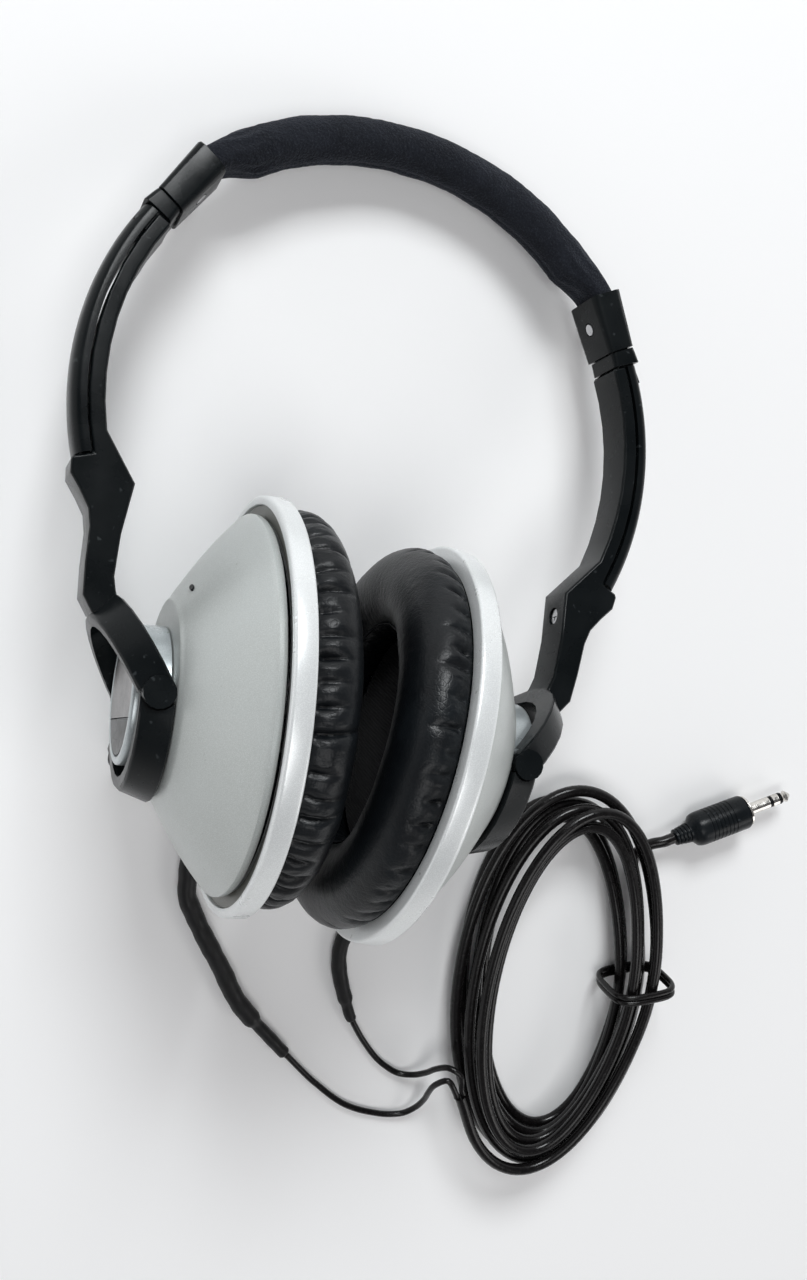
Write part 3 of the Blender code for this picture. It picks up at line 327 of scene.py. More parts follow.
def floor_material():
    """White table top that runs out into an evenly lit white backdrop well away from the object."""
    look = Look("table_top")
    nodes, links = look.nodes, look.links
    look.feed("Base Color", look.ramp(look.noise(3.0, 2.0), (0.3, grey(0.935)), (0.7, grey(0.95))))
    look.set("Roughness", 0.65)
    reach = nodes.new("ShaderNodeVectorMath")
    reach.operation = "LENGTH"
    links.new(nodes.new("ShaderNodeTexCoord").outputs["Object"], reach.inputs[0])
    away = nodes.new("ShaderNodeMapRange")
    away.interpolation_type = "SMOOTHSTEP"
    away.inputs["From Min"].default_value = 0.25
    away.inputs["From Max"].default_value = 0.85
    links.new(reach.outputs["Value"], away.inputs["Value"])
    glow = nodes.new("ShaderNodeEmission")
    glow.inputs["Color"].default_value = (*grey(BACKDROP), 1)
    blend = nodes.new("ShaderNodeMixShader")
    links.new(away.outputs["Result"], blend.inputs["Fac"])
    links.new(look.shader.outputs["BSDF"], blend.inputs[1])
    links.new(glow.outputs["Emission"], blend.inputs[2])
    links.new(blend.outputs["Shader"], nodes["Material Output"].inputs["Surface"])
    return look.mat


BLACK = plastic("black_moulding", (0.0030, 0.0042, 0.0048), (0.0062, 0.0078, 0.0086), 0.27)
RUBBER = vinyl("black_sleeve", (0.0038, 0.0038, 0.0042), 0.42)
CORD = vinyl("cord_jacket", (0.0034, 0.0030, 0.0031), 0.20)
PLUG_BODY = plastic("plug_moulding", (0.0050, 0.0064, 0.0075), (0.0088, 0.011, 0.013), 0.30)
CONE = silver_paint("cone_paint", (0.45, 0.475, 0.465), (0.395, 0.415, 0.40), 0.30, 0.38)
RIM = silver_paint("rim_silver", (0.70, 0.72, 0.72), (0.64, 0.66, 0.66), 0.30, 0.30, wear=0.5)
HUB = silver_paint("hub_silver", (0.42, 0.46, 0.47), (0.34, 0.375, 0.385), 0.55, 0.28)
# Dark olive-grey on the groove's floor between cone and rim: painted shade for the recess.
GROOVE_SHADE = silver_paint("groove_painted_shade", (0.155, 0.155, 0.14), (0.115, 0.115, 0.10), 0.2, 0.5)
HUB_FACE = metal("hub_face", (0.33, 0.32, 0.32), (0.24, 0.235, 0.235), 0.36, (1, 26, 1))
STEEL = metal("bright_steel", (0.56, 0.56, 0.57), (0.40, 0.40, 0.41), 0.27)
NICKEL = metal("nickel_plate", (0.74, 0.72, 0.68), (0.52, 0.50, 0.47), 0.2)
FERRITE = plastic("ferrite", (0.03, 0.03, 0.032), (0.05, 0.05, 0.052), 0.5)
FILM = plastic("film", (0.42, 0.44, 0.46), (0.5, 0.52, 0.54), 0.3, bump=0.04)
LEATHER = leatherette("black_leatherette")
SUEDE = brushed_fabric("band_fabric")
SCREEN = weave("driver_screen")
THREAD = plastic("thread", (0.012, 0.013, 0.015), (0.02, 0.021, 0.024), 0.7)

# What isn't named here, by the start of its node's name, is black plastic.
NODE_LOOKS = {
    "cap_screw": STEEL, "elbow_screw": STEEL, "slider_strip": STEEL, "driver_basket": STEEL,
    "headband_spring": STEEL, "driver_magnet": FERRITE, "driver_diaphragm": FILM, "cone_shell": CONE,
    "rim_ring": RIM, "hub_boss": HUB, "hub_plate": HUB_FACE, "jack_insulator": BLACK, "plug_face": NICKEL,
    "jack_": NICKEL, "dust_screen": SCREEN, "strain_relief": RUBBER, "boot": RUBBER, "lead": CORD,
    "cord_": CORD, "cushion": LEATHER, "headband_sleeve": SUEDE, "headband_foam": SUEDE,
    "plug_housing": PLUG_BODY,
}


def dress_nodes():
    for name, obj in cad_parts.items():
        look = next((mat for start, mat in NODE_LOOKS.items() if name.startswith(start)), BLACK)
        obj.data.materials.clear()
        obj.data.materials.append(look)


# ------------------------------------------------------------------ mesh helpers
EDGE_ANGLE = 50.0              # sharper edges are rounded on a copy, and stay crisp in the shading


def skin(bm, rings, closed_along):
    """Quads between neighbouring rings of points, each ring closed on itself."""
    rows = [[bm.verts.new(p) for p in ring] for ring in rings]
    following = rows[1:] + rows[:1] if closed_along else rows[1:]
    for a, b in zip(rows, following):
        for i in range(len(a)):
            j = (i + 1) % len(a)
            bm.faces.new((a[i], a[j], b[j], b[i]))
    return rows


def made(name, bm, mat, body, sharp=None):
    """Turn a bmesh into a smooth object that rides on a body."""
    bmesh.ops.recalc_face_normals(bm, faces=bm.faces)
    mesh = bpy.data.meshes.new(name)
    bm.to_mesh(mesh)
    bm.free()
    mesh.materials.append(mat)
    mesh.shade_smooth()
    if sharp:
        mesh.set_sharp_from_angle(angle=math.radians(sharp))
    obj = linked(name, mesh)
    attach(obj, body)
    return obj


def skinned(name, rings, mat, body, closed_along=False):
    """Skin rings of points into an object, with flat ends where it isn't closed along its length."""
    bm = bmesh.new()
    rows = skin(bm, rings, closed_along)
    if not closed_along:
        bm.faces.new(rows[0])
        bm.faces.new(rows[-1])
    return made(name, bm, mat, body)


def apply_modifiers(obj):
    done = bpy.data.meshes.new_from_object(obj.evaluated_get(bpy.context.evaluated_depsgraph_get()))
    obj.modifiers.clear()
    obj.data = done


def refined(node, body, mat, round_by):
    """A copy of a solid with its edges rounded, standing where the solid is."""
    bm = bmesh.new()
    bm.from_mesh(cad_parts[node].data)
    bmesh.ops.remove_doubles(bm, verts=bm.verts, dist=2e-6)
    bmesh.ops.dissolve_limit(bm, angle_limit=math.radians(1.0), verts=bm.verts, edges=bm.edges)
    bmesh.ops.dissolve_degenerate(bm, dist=1e-5, edges=bm.edges)
    mesh = bpy.data.meshes.new(node + "_fine")
    bm.to_mesh(mesh)
    bm.free()
    mesh.materials.append(mat)
    obj = linked(node + "_fine", mesh)
    edge = obj.modifiers.new("edge", "BEVEL")
    edge.width = round_by * MM
    edge.segments = 2
    edge.limit_method = "ANGLE"
    edge.angle_limit = math.radians(EDGE_ANGLE)
    apply_modifiers(obj)
    obj.data.shade_smooth()
    obj.data.set_sharp_from_angle(angle=math.radians(EDGE_ANGLE))
    weigh = obj.modifiers.new("weigh", "WEIGHTED_NORMAL")
    weigh.keep_sharp = True
    apply_modifiers(obj)
    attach(obj, body)
    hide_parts(node)
    return obj


def steps(first, last, count):
    return [first + (last - first) * i / count for i in range(count + 1)]


def smoothstep(t):
    t = max(0.0, min(1.0, t))
    return t * t * (3 - 2 * t)


def squared(value, power):
    """A sine or cosine with its corners pushed out: a power of 1 is round, and less is boxier."""
    return math.copysign(abs(value) ** power, value)


def frames_along(points):
    """Two ways across the path at each point, turned as little as the path allows."""
    ways = []
    for i in range(len(points)):
        a, b = points[max(0, i - 1)], points[min(len(points) - 1, i + 1)]
        ways.append((b - a).normalized())
    side = ways[0].orthogonal().normalized()
    out = []
    for way in ways:
        side = (side - way * side.dot(way)).normalized()
        out.append((side, way.cross(side)))
    return out


def swept(name, points, radii, mat, body, sides=28):
    """A round sweep whose radius may change from point to point."""
    rings = []
    for point, radius, (u, v) in zip(points, radii, frames_along(points)):
        rings.append([point + (u * math.cos(t) + v * math.sin(t)) * radius
                      for t in (TAU * k / sides for k in range(sides))])
    return skinned(name, rings, mat, body)


def lathed(name, profile, place, mat, body, segments=192):
    """Spin a closed (axial from the rim's cushion side, radius) outline about the cup's axis."""
    bm = bmesh.new()
    rows = []
    for i in range(segments):
        turn = TAU * i / segments
        row = []
        for axial, radius in profile:
            if radius == 0 and rows:
                row.append(rows[0][len(row)])
            else:
                row.append(bm.verts.new(place(axial - PIVOT_FROM_RIM, radius * math.sin(turn),
                                              radius * math.cos(turn))))
        rows.append(row)
    count = len(profile)
    for a, b in zip(rows, rows[1:] + rows[:1]):
        for i in range(count):
            j = (i + 1) % count
            corners = [a[i], a[j], b[j], b[i]]
            corners = [v for k, v in enumerate(corners) if v not in corners[:k]]
            if len(corners) > 2:
                bm.faces.new(corners)
    return made(name, bm, mat, body, sharp=38)


# ------------------------------------------------------------------ cords: the same routes as the solids
LEAD_DIAMETER = 1.7
CORD_DIAMETER = 3.2
HANK_CENTRE = (99.0, -69.0)
HANK_LEAN = 17.8               # degrees the hank's long axis leans to the left
HANK_HALF = (57.0, 29.0)
HANK_TURNS = 7.43
HANK_START_ANGLE = 75.0
HANK_PITCH = 6.0               # a turn's step inwards or outwards
HANK_DRIFT = -2.0              # degrees that each turn lies round from the last
LAYER_RISE = 4.1
TURNS_PER_LAYER = 1.5
CLIMB_TURNS = 0.5
TIE_LIFT = 2.4                 # the runs rise over the tie's underside
TIE_LIFT_LENGTH = 22.0
TIE_AT = -4.0                  # along the hank's long axis
BOOT_ROUTE = {"l": [(-35.0, -26.6, 6.4), (-28.5, -30.0, 3.3), (-20.0, -33.0, 2.8), (-13.9, -39.5, 2.7),
                    (-12.0, -48.5, 2.7), (-10.2, -60.0, 2.7), (-8.2, -64.0, 2.7), (-4.0, -70.0, 2.7),
                    (4.4, -80.4, 2.7), (11.8, -89.7, 2.7), (17.5, -95.0, 2.4), (28.0, -102.7, 1.8)],
              "r": [(38.6, -26.0, 6.6), (39.6, -33.0, 2.9), (39.4, -46.0, 2.2), (37.2, -58.0, 2.2),
                    (35.2, -69.3, 2.2), (37.2, -77.8, 2.2), (41.1, -86.4, 2.2), (44.3, -90.5, 2.0)]}
BOOT_RADIUS = {"l": (2.45, 1.7), "r": (2.1, 1.5)}    # its thick part, then the worn end
BOOT_NARROW = {"l": 14.0, "r": 6.0}                 # length of the worn end
TAIL_ROUTE = [(118.5, -40.5, 2.3), (115.9, -34.2, 1.9), (115.4, -29.9, 2.2), (117.4, -26.3, 3.4)]
LEAD_ROUTE = {"l": [(38.5, -110.5, 1.0), (50.0, -116.8, 1.0), (61.5, -118.6, 1.0), (68.6, -116.8, 2.0),
                    (70.8, -110.8, 5.5), (69.8, -103.8, 10.5), (71.5, -99.7, 13.5), (74.0, -100.6, 14.1)],
              "r": [(50.5, -97.6, 1.2), (57.0, -103.0, 1.1), (64.0, -105.6, 1.6), (68.6, -103.0, 4.8),
                    (70.2, -98.6, 9.5), (73.0, -96.2, 13.2), (75.9, -98.1, 14.2)]}
RELIEF_ROUTE = [(-0.5, 26.3, -13.9), (-1.8, 32.5, -13.2), (-3.0, 38.2, -11.6)]    # in the cup's frame
RELIEF_RIB = 8                 # points of the smooth route from rib to rib
GLAND_ANGLE = math.radians(30.0)
GLAND_END = 23.4               # from the pivot's middle
PLUG_BACK = Vector((124.3, -22.1, 5.0))
PLUG_HEADING = math.radians(30.0)
PLUG_SIDES = 64
LEAN = math.radians(HANK_LEAN)
LONG_AXIS = Vector((-math.sin(LEAN), math.cos(LEAN), 0))
WIDE_AXIS = Vector((math.cos(LEAN), math.sin(LEAN), 0))


def path_length(points):
    return sum((b - a).length for a, b in zip(points, points[1:]))


def smoothed(points, per_step):
    """More points on a smooth curve through the given ones."""
    out = []
    route = [2 * points[0] - points[1]] + list(points) + [2 * points[-1] - points[-2]]
    for i in range(1, len(route) - 2):
        p0, p1, p2, p3 = route[i - 1:i + 3]
        for k in range(per_step):
            t = k / per_step
            out.append(0.5 * ((2 * p1) + (p2 - p0) * t + (2 * p0 - 5 * p1 + 4 * p2 - p3) * t * t
                              + (3 * p1 - p0 - 3 * p2 + p3) * t * t * t))
    return out + [points[-1]]


def evenly(points, spacing):
    """Points at an even spacing on a smooth curve through the given ones."""
    fine = smoothed([Vector(p) for p in points], 24)
    total = path_length(fine)
    count = max(2, round(total / spacing))
    out = [fine[0]]
    run = 0.0
    for a, b in zip(fine, fine[1:]):
        piece = (b - a).length
        while len(out) < count and run + piece >= total * len(out) / count:
            out.append(a + (b - a) * ((total * len(out) / count - run) / piece))
        run += piece
    return out[:count] + [fine[-1]]


def led(start, leaving, route, arriving, end, straight, spacing):
    """A route that leaves and arrives straight along the given ways."""
    first = start + leaving * straight
    last = end - arriving * straight
    return [start] + evenly([first] + [Vector(p) for p in route] + [last], spacing) + [end]


def hank_state(turn):
    """How far in and how high the cord lies: layers that wind inwards and outwards in turn."""
    layer, within = divmod(turn, TURNS_PER_LAYER + CLIMB_TURNS)
    reach = min(within, TURNS_PER_LAYER) * HANK_PITCH
    if int(layer) % 2 == 1:
        reach = TURNS_PER_LAYER * HANK_PITCH - reach
    climb = max(0.0, within - TURNS_PER_LAYER) / CLIMB_TURNS
    return reach, CORD_DIAMETER / 2 + LAYER_RISE * (layer + climb)


def hank_point(turn):
    inset, height = hank_state(turn)
    angle = math.radians(HANK_START_ANGLE) + TAU * turn
    along = (HANK_HALF[0] - inset) * math.cos(angle)
    wide = (HANK_HALF[1] - inset) * math.sin(angle)
    drift = math.radians(HANK_DRIFT * turn)
    along, wide = (along * math.cos(drift) + wide * math.sin(drift),
                   wide * math.cos(drift) - along * math.sin(drift))
    if wide > 0:
        height += TIE_LIFT * math.exp(-((along - TIE_AT) / TIE_LIFT_LENGTH) ** 2) * min(1.0, wide / 8.0)
    return Vector((*HANK_CENTRE, height)) + LONG_AXIS * along + WIDE_AXIS * wide


def hank_route():
    """The whole winding, and the level ways in which its two ends leave it."""
    count = round(HANK_TURNS * 24)
    points = [hank_point(HANK_TURNS * i / count) for i in range(count + 1)]
    ways = [points[0] - points[1], points[-1] - points[-2]]
    for way in ways:
        way.z = 0
        way.normalize()
    first, last = ways
    return [points[0] + first * CORD_DIAMETER] + points + [points[-1] + last * CORD_DIAMETER], first, last


def cord_curve(name, points, diameter, mat, body):
    """A cord's own curve, in metres."""
    curve = bpy.data.curves.new(name, "CURVE")
    curve.dimensions = "3D"
    curve.bevel_depth = diameter / 2
    curve.bevel_resolution = 5
    curve.use_fill_caps = True
    spline = curve.splines.new("POLY")
    spline.points.add(len(points) - 1)
    for i, point in enumerate(points):
        spline.points[i].co = (*point, 1.0)
    curve.materials.append(mat)
    obj = linked(name, curve)
    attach(obj, body)
    return obj


def make_plug():
    """The plug's moulding, turned with grip ribs and a ribbed neck."""
    heading = Matrix.Translation(TABLE @ PLUG_BACK) @ Matrix.Rotation(PLUG_HEADING, 4, "Z")
    outline = [(0.0, 2.1), (0.2, 2.35)]
    for i in range(4):
        start = 0.55 + 1.1 * i
        radius = 2.4 + 0.17 * i
        outline += [(start, radius), (start + 0.12, radius - 0.35), (start + 0.45, radius - 0.35),
                    (start + 0.57, radius)]
    outline += [(5.0, 3.0), (5.5, 3.5), (6.4, 4.55), (7.2, 4.85), (8.2, 5.0)]
    for i in range(7):
        start = 10.2 + 1.25 * i
        outline += [(start, 5.0), (start + 0.1, 4.82), (start + 0.4, 4.82), (start + 0.5, 5.0)]
    outline += [(22.3, 5.0), (22.8, 4.9), (23.0, 4.6)]
    bm = bmesh.new()
    rows = []
    for k in range(PLUG_SIDES):
        t = TAU * k / PLUG_SIDES
        rows.append([bm.verts.new(heading @ Vector((a, r * math.cos(t), r * math.sin(t))) * MM) for a, r in outline])
    for a, b in zip(rows, rows[1:] + rows[:1]):
        for i in range(len(a) - 1):
            bm.faces.new((a[i], a[i + 1], b[i + 1], b[i]))
    bm.faces.new([row[0] for row in rows])
    bm.faces.new([row[-1] for row in rows])
    plug = made("plug_body", bm, PLUG_BODY, "headband", sharp=40)
    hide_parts("plug_housing")
    return plug


def make_tie():
    """A flat band of two strands round the right-hand runs."""
    half_wide = 9.2
    low = 0.9
    high = TIE_LIFT + CORD_DIAMETER + 3 * LAYER_RISE + 1.3
    half_high = (high - low) / 2
    strand_radius, apart = 0.82, 0.85
    middle_wide = HANK_HALF[1] - 4.9
    base = Vector((*HANK_CENTRE, low + half_high)) + LONG_AXIS * TIE_AT + WIDE_AXIS * middle_wide
    strands = []
    for strand in (-1, 1):
        rings = []
        for i in range(96):
            t = TAU * i / 96
            cu, cv = squared(math.cos(t), 0.55), squared(math.sin(t), 0.55)
            point = base + WIDE_AXIS * (half_wide * cu) + Vector((0, 0, half_high * cv))
            outward = (WIDE_AXIS * (cu / half_wide) + Vector((0, 0, cv / half_high))).normalized()
            middle = point + LONG_AXIS * (strand * apart)
            rings.append(on_table([middle + outward * (strand_radius * math.cos(s))
                                   + LONG_AXIS * (strand_radius * math.sin(s))
                                   for s in (TAU * k / 12 for k in range(12))]))
        strands.append(skinned("tie_strand_%d" % (strand + 1), rings, CORD, "headband", closed_along=True))
    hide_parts("cord_tie")
    return strands


def make_main_cord(hank, start_way):
    """The hank and its tail as one cord, with the plug and the tie that it carries."""
    axis = Vector((math.cos(PLUG_HEADING), math.sin(PLUG_HEADING), 0))
    tail_start = hank[0] + start_way * GAP
    tail = led(tail_start, start_way, TAIL_ROUTE, axis, PLUG_BACK - axis * GAP, CORD_DIAMETER, 3.0)
    whole = list(reversed(smoothed(tail, 3))) + smoothed(hank, 4)
    main = cord_curve("cord_main", on_table(whole), CORD_DIAMETER * MM, CORD, "headband")
    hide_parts("cord_hank", "cord_tail")
    carried = [make_plug(), "plug_face", "jack_sleeve", "jack_ring", "jack_insulator", "jack_tip"] + make_tie()


def make_relief(tag, side):
    """The ribbed strain relief on a cup; hands back its route on the table."""
    way = Vector((0, math.cos(GLAND_ANGLE), -math.sin(GLAND_ANGLE)))
    local = [way * (GLAND_END + GAP)] + evenly([way * (GLAND_END + GAP + 2.0)] + RELIEF_ROUTE, 3.5)
    to_world = cup_matrix(tag, side)
    relief = [to_world @ Vector((side * p.x, p.y, p.z)) for p in local]
    big = BOOT_RADIUS[tag][0]
    # The last point is left off, so that the relief stays clear of the sleeve when the cup tilts in.
    route = smoothed(relief, RELIEF_RIB)[:-1]
    radii = []
    for i in range(len(route)):
        flare = 0.05 * math.exp(-i / len(route) * 6)
        groove = 0.16 if i % RELIEF_RIB in (3, 4) and i > 6 else 0.0
        radii.append((big * (1.0 + flare - groove)) * MM)
    grip = swept("relief_sleeve_" + tag, [p * MM for p in route], radii, RUBBER, "cup_" + tag)
    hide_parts("strain_relief_" + tag)
    return relief


def make_sleeve(tag, relief):
    """The worn sleeve over a lead; hands back its points, its end and the way it leaves."""
    big, small = BOOT_RADIUS[tag]
    down = (relief[-1] - relief[-2]).normalized()
    start = (relief[-1] + down * GAP) - Vector((0, ORIGIN_Y, 0))
    *route, before, end = [Vector(p) for p in BOOT_ROUTE[tag]]
    out_way = (end - before).normalized()
    fine = smoothed(led(start, down, route, out_way, end, 2.0, 5.0), 6)
    narrow_from = path_length(fine) - BOOT_NARROW[tag]
    run, radii = 0.0, []
    for i, point in enumerate(fine):
        if i:
            run += (point - fine[i - 1]).length
        radius = big + (small - big) * smoothstep((run - narrow_from + 1.0) / 2.0)
        radii.append((radius * (1.0 + 0.025 * math.sin(run * 0.55) + 0.02 * math.sin(run * 1.31))) * MM)
    radii[-1] *= 0.9
    sleeve = swept("lead_sleeve_" + tag, on_table(fine), radii, RUBBER, "headband")
    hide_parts("boot_" + tag)
    return fine, end, out_way


def make_cords():
    hank, start_way, end_way = hank_route()
    make_main_cord(hank, start_way)
    across = Vector((-end_way.y, end_way.x, 0))
    ends = {"l": hank[-1] + end_way * GAP + across, "r": hank[-1] + end_way * GAP - across}
    for tag, side in SIDES:
        fine, end, out_way = make_sleeve(tag, make_relief(tag, side))
        first = end + out_way * GAP
        lead = led(first, out_way, LEAD_ROUTE[tag], -end_way, ends[tag], LEAD_DIAMETER, 4.6)
        path = fine[-4:-1] + smoothed(lead, 4)
        thin = cord_curve("lead_cord_" + tag, on_table(path), LEAD_DIAMETER * MM, CORD, "headband")
        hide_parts("lead_" + tag)


# ------------------------------------------------------------------ headband sleeve
BAND_STEPS = 260
BAND_SIDES = 72


def make_band():
    """Padded fabric tube: soft lumps, gathers where it enters the caps, and a closed seam on the head side."""
    rings = []
    for angle in steps(BAND_END_ANGLE, 180.0 - BAND_END_ANGLE, BAND_STEPS):
        above_cap = min(angle, 180.0 - angle)
        squeeze = smoothstep((53.0 - above_cap) / 9.0)
        inset = 0.15 * squeeze
        radial = SLEEVE_RADIUS + (BAND_END_HALF[0] - SLEEVE_RADIUS) * squeeze - inset
        depth = SLEEVE_RADIUS + (BAND_END_HALF[1] - SLEEVE_RADIUS) * squeeze - inset
        boxy = 1.0 - 0.42 * squeeze
        middle = ARCH_RADIUS + BAND_END_SHIFT * squeeze
        turn = math.radians(angle)
        near_end = math.exp(-((above_cap - 50.0) / 5.0) ** 2)
        ring = []
        for k in range(BAND_SIDES):
            t = TAU * (k + 0.5) / BAND_SIDES
            across, along = squared(math.cos(t), boxy), squared(math.sin(t), boxy)
            lump = 0.30 * noise.noise(Vector((angle * 0.16, math.cos(t) * 1.1, math.sin(t) * 1.1)))
            lump += 0.10 * noise.noise(Vector((angle * 0.9, math.cos(t) * 3.0, math.sin(t) * 3.0)))
            gather = near_end * 0.20 * math.cos(11 * t + 1.2 * math.sin(angle * 0.4))
            seam = -0.42 * math.exp(-((abs(t - math.pi)) / 0.07) ** 2)
            swell = 1.0 + (lump * (1 - squeeze) + gather * (1 - squeeze) + seam) / SLEEVE_RADIUS + 0.012
            radius = middle + radial * across * swell
            ring.append((LYING @ Vector((radius * math.cos(turn), depth * along * swell,
                                         ARCH_CENTRE_Z + radius * math.sin(turn)))) * MM)
        rings.append(ring)
    band = skinned("band_sleeve", rings, SUEDE, "headband")
    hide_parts("headband_sleeve", "headband_foam")


# ------------------------------------------------------------------ rigid pieces of the cups and arms
CONE_OUT = (0.757, 0.653)      # the way out of the cone's skin, along the axis and away from it
PORT_HALF = (0.55, 1.35)
PORT_LIFTS = ((-0.4, 1.05), (0.03, 1.05), (0.08, 0.95), (0.07, 0.5), (0.05, 0.1))    # height and spread
ROUNDED = (("arm_frame", "arm_", 0.35), ("end_cap", "", 0.3), ("cup_ring", "cup_", 0.3),
           ("stop_collar", "arm_", 0.25))


def make_cone(tag, place):
    """The painted cone with its rolled foot."""
    base = RIM_WIDTH + GAP
    cone = [(base - 0.25, 39.2), (base - 0.25, 40.9), (base + 0.15, 41.15), (base + 0.6, 41.2)]
    for t in steps(0.045, 1.0, 30):
        axial = base + 0.7 + (CUP_DEPTH - 0.5 - base - 0.7) * t
        radius = CONE_BASE - (CONE_BASE - DISC - 0.4) * t + 1.3 * math.sin(math.pi * t)
        cone.append((axial, radius - 0.22 * math.exp(-(t - 0.045) / 0.02)))
    cone += [(CUP_DEPTH - 0.15, DISC + 0.1), (CUP_DEPTH, DISC - 0.3), (CUP_DEPTH, 0), (CUP_DEPTH - 1.4, 0),
             (CUP_DEPTH - 1.4, 17.5), (base + 1.0, 38.8)]
    shell = lathed("cone_" + tag, cone, place, CONE, "cup_" + tag)
    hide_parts("cone_shell_" + tag)


def make_port(tag, place):
    """A dark oval in black plastic over the small port, just proud of the cone's skin: painted shade standing in for
    the port's opening.
    """
    turn = math.radians(PORT_ANGLE)
    along, away = CONE_OUT
    radial = Vector((0.0, -math.sin(turn), math.cos(turn)))
    around = Vector((0.0, math.cos(turn), math.sin(turn)))
    out = Vector((along, 0, 0)) + radial * away
    slope = Vector((-away, 0, 0)) + radial * along
    middle = Vector((CUP_DEPTH - 3.1 - PIVOT_FROM_RIM, 0, 0)) + radial * PORT_RADIUS
    on_skin = middle + out * 0.62
    oval = [(PORT_HALF[0] * math.cos(t), PORT_HALF[1] * math.sin(t)) for t in (TAU * k / 20 for k in range(20))]
    rings = []
    for lift, grow in PORT_LIFTS:
        ring = [on_skin + out * lift + slope * (u * grow) + around * (v * grow) for u, v in oval]
        rings.append([place(*p) for p in ring])
    # The black plastic here is painted shade where the port opens into the cup.
    shade_oval = skinned("port_shade_" + tag, rings, BLACK, "cup_" + tag)


def make_rim(tag, place):
    """The bright rim, and a dark olive-grey band on the floor of its groove whose colour is painted shade for the
    recess.
    """
    edge = RIM_RADIUS
    floor_at = RIM_WIDTH - 1.15
    rim = [(0.0, 41.6), (0.0, edge - 0.75), (0.1, edge - 0.35), (0.35, edge - 0.08), (0.7, edge),
           (RIM_WIDTH - 0.9, edge), (RIM_WIDTH - 0.45, edge - 0.1), (RIM_WIDTH - 0.14, edge - 0.4),
           (RIM_WIDTH, edge - 0.85), (RIM_WIDTH, 43.75), (RIM_WIDTH - 0.08, 43.55), (RIM_WIDTH - 0.3, 43.45),
           (RIM_WIDTH - 1.1, 43.4), (floor_at, 38.8), (1.8, 38.8), (1.8, 41.6)]
    ring = lathed("rim_" + tag, rim, place, RIM, "cup_" + tag)
    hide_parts("rim_ring_" + tag)
    groove = [(floor_at + 0.01, 40.4), (floor_at + 0.30, 40.4), (floor_at + 0.34, 42.9), (floor_at + 0.5, 43.3),
              (floor_at + 0.01, 43.3)]
    band = lathed("groove_" + tag, groove, place, GROOVE_SHADE, "cup_" + tag, 160)


def make_boss(tag, place):
    """The raised hub in the folding ring."""
    low = PIVOT_FROM_RIM - RING_HALF_WIDTH
    top = low + 7.6
    boss = [(low, 0), (low, 15.0), (top - 0.7, 15.0), (top - 0.3, 14.9), (top - 0.06, 14.65), (top, 14.3),
            (top, 13.5), (top - 0.12, 13.3), (top - 1.1, 13.3), (top - 1.1, 0)]
    hub = lathed("hub_" + tag, boss, place, HUB, "cup_" + tag, 128)
    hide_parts("hub_boss_" + tag)


def make_rigid(tag):
    """Rounded edges for the moulded arms, caps and rings."""
    for node, body, round_by in ROUNDED:
        fine = refined(node + "_" + tag, body + tag if body else "headband", BLACK, round_by)


def make_arm_shell(tag, side):
    """Domed outer shell of the arm."""
    half = [(66.1, -5.5), (66.6, -5.5), (67.3, -5.46), (67.8, -5.35), (68.3, -5.0), (68.75, -4.5), (69.1, -3.9),
            (69.35, -3.1), (69.52, -2.2), (69.63, -1.2), (69.67, 0.0)]
    section = half + [(r, -y) for r, y in reversed(half[:-1])]
    rings = []
    for angle in steps(-21.2, 27.5, 90):
        turn = math.radians(angle)
        rings.append([(LYING @ Vector((side * r * math.cos(turn), y, ARCH_CENTRE_Z + r * math.sin(turn)))) * MM
                      for r, y in section])
    shell = skinned("arm_cover_" + tag, rings, BLACK, "arm_" + tag)
    shell.data.set_sharp_from_angle(angle=math.radians(EDGE_ANGLE))
    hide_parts("arm_shell_" + tag)


# ------------------------------------------------------------------ cushions
PLEATS = 50
PLEAT_REACH = {"l": 0.52, "r": 0.33}     # the longest, as a share of the section
PLEAT_PULL = {"l": 1.0, "r": 0.8}
CUSHION_MID = 34.0
CUSHION_HALF = 9.8
CUSHION_DEPTH = 12.3
CUSHION_WAIST = 4.6                      # depth at which the ring is widest
SECTION_START, SECTION_SWEEP = -34.0, 248.0
CUSHION_AROUND, CUSHION_ACROSS = 720, 56
CROWN_AROUND, CROWN_ACROSS = 120, 24
CROWN_SHARE = 0.65                       # how much of the shape is the blown-up ring's
LONGEST_STEP = 0.0012
SEAM_RADIUS, SEAM_DEPTH = 25.1, 7.6
SEAM_POINTS = 220


def section_angle(share):
    return math.radians(SECTION_START + SECTION_SWEEP * share)


def ring_section(count, shrink=0.0):
    """Outline of the cushion from its outer foot over the crown to its inner foot, as (depth, radius, share)."""
    out = []
    for i in range(count + 1):
        share = i / count
        turn = section_angle(share)
        radius = CUSHION_MID + (CUSHION_HALF - shrink) * math.cos(turn)
        depth = CUSHION_WAIST + (CUSHION_DEPTH - CUSHION_WAIST - shrink) * math.sin(turn)
        out.append((depth, radius, share))
    return out


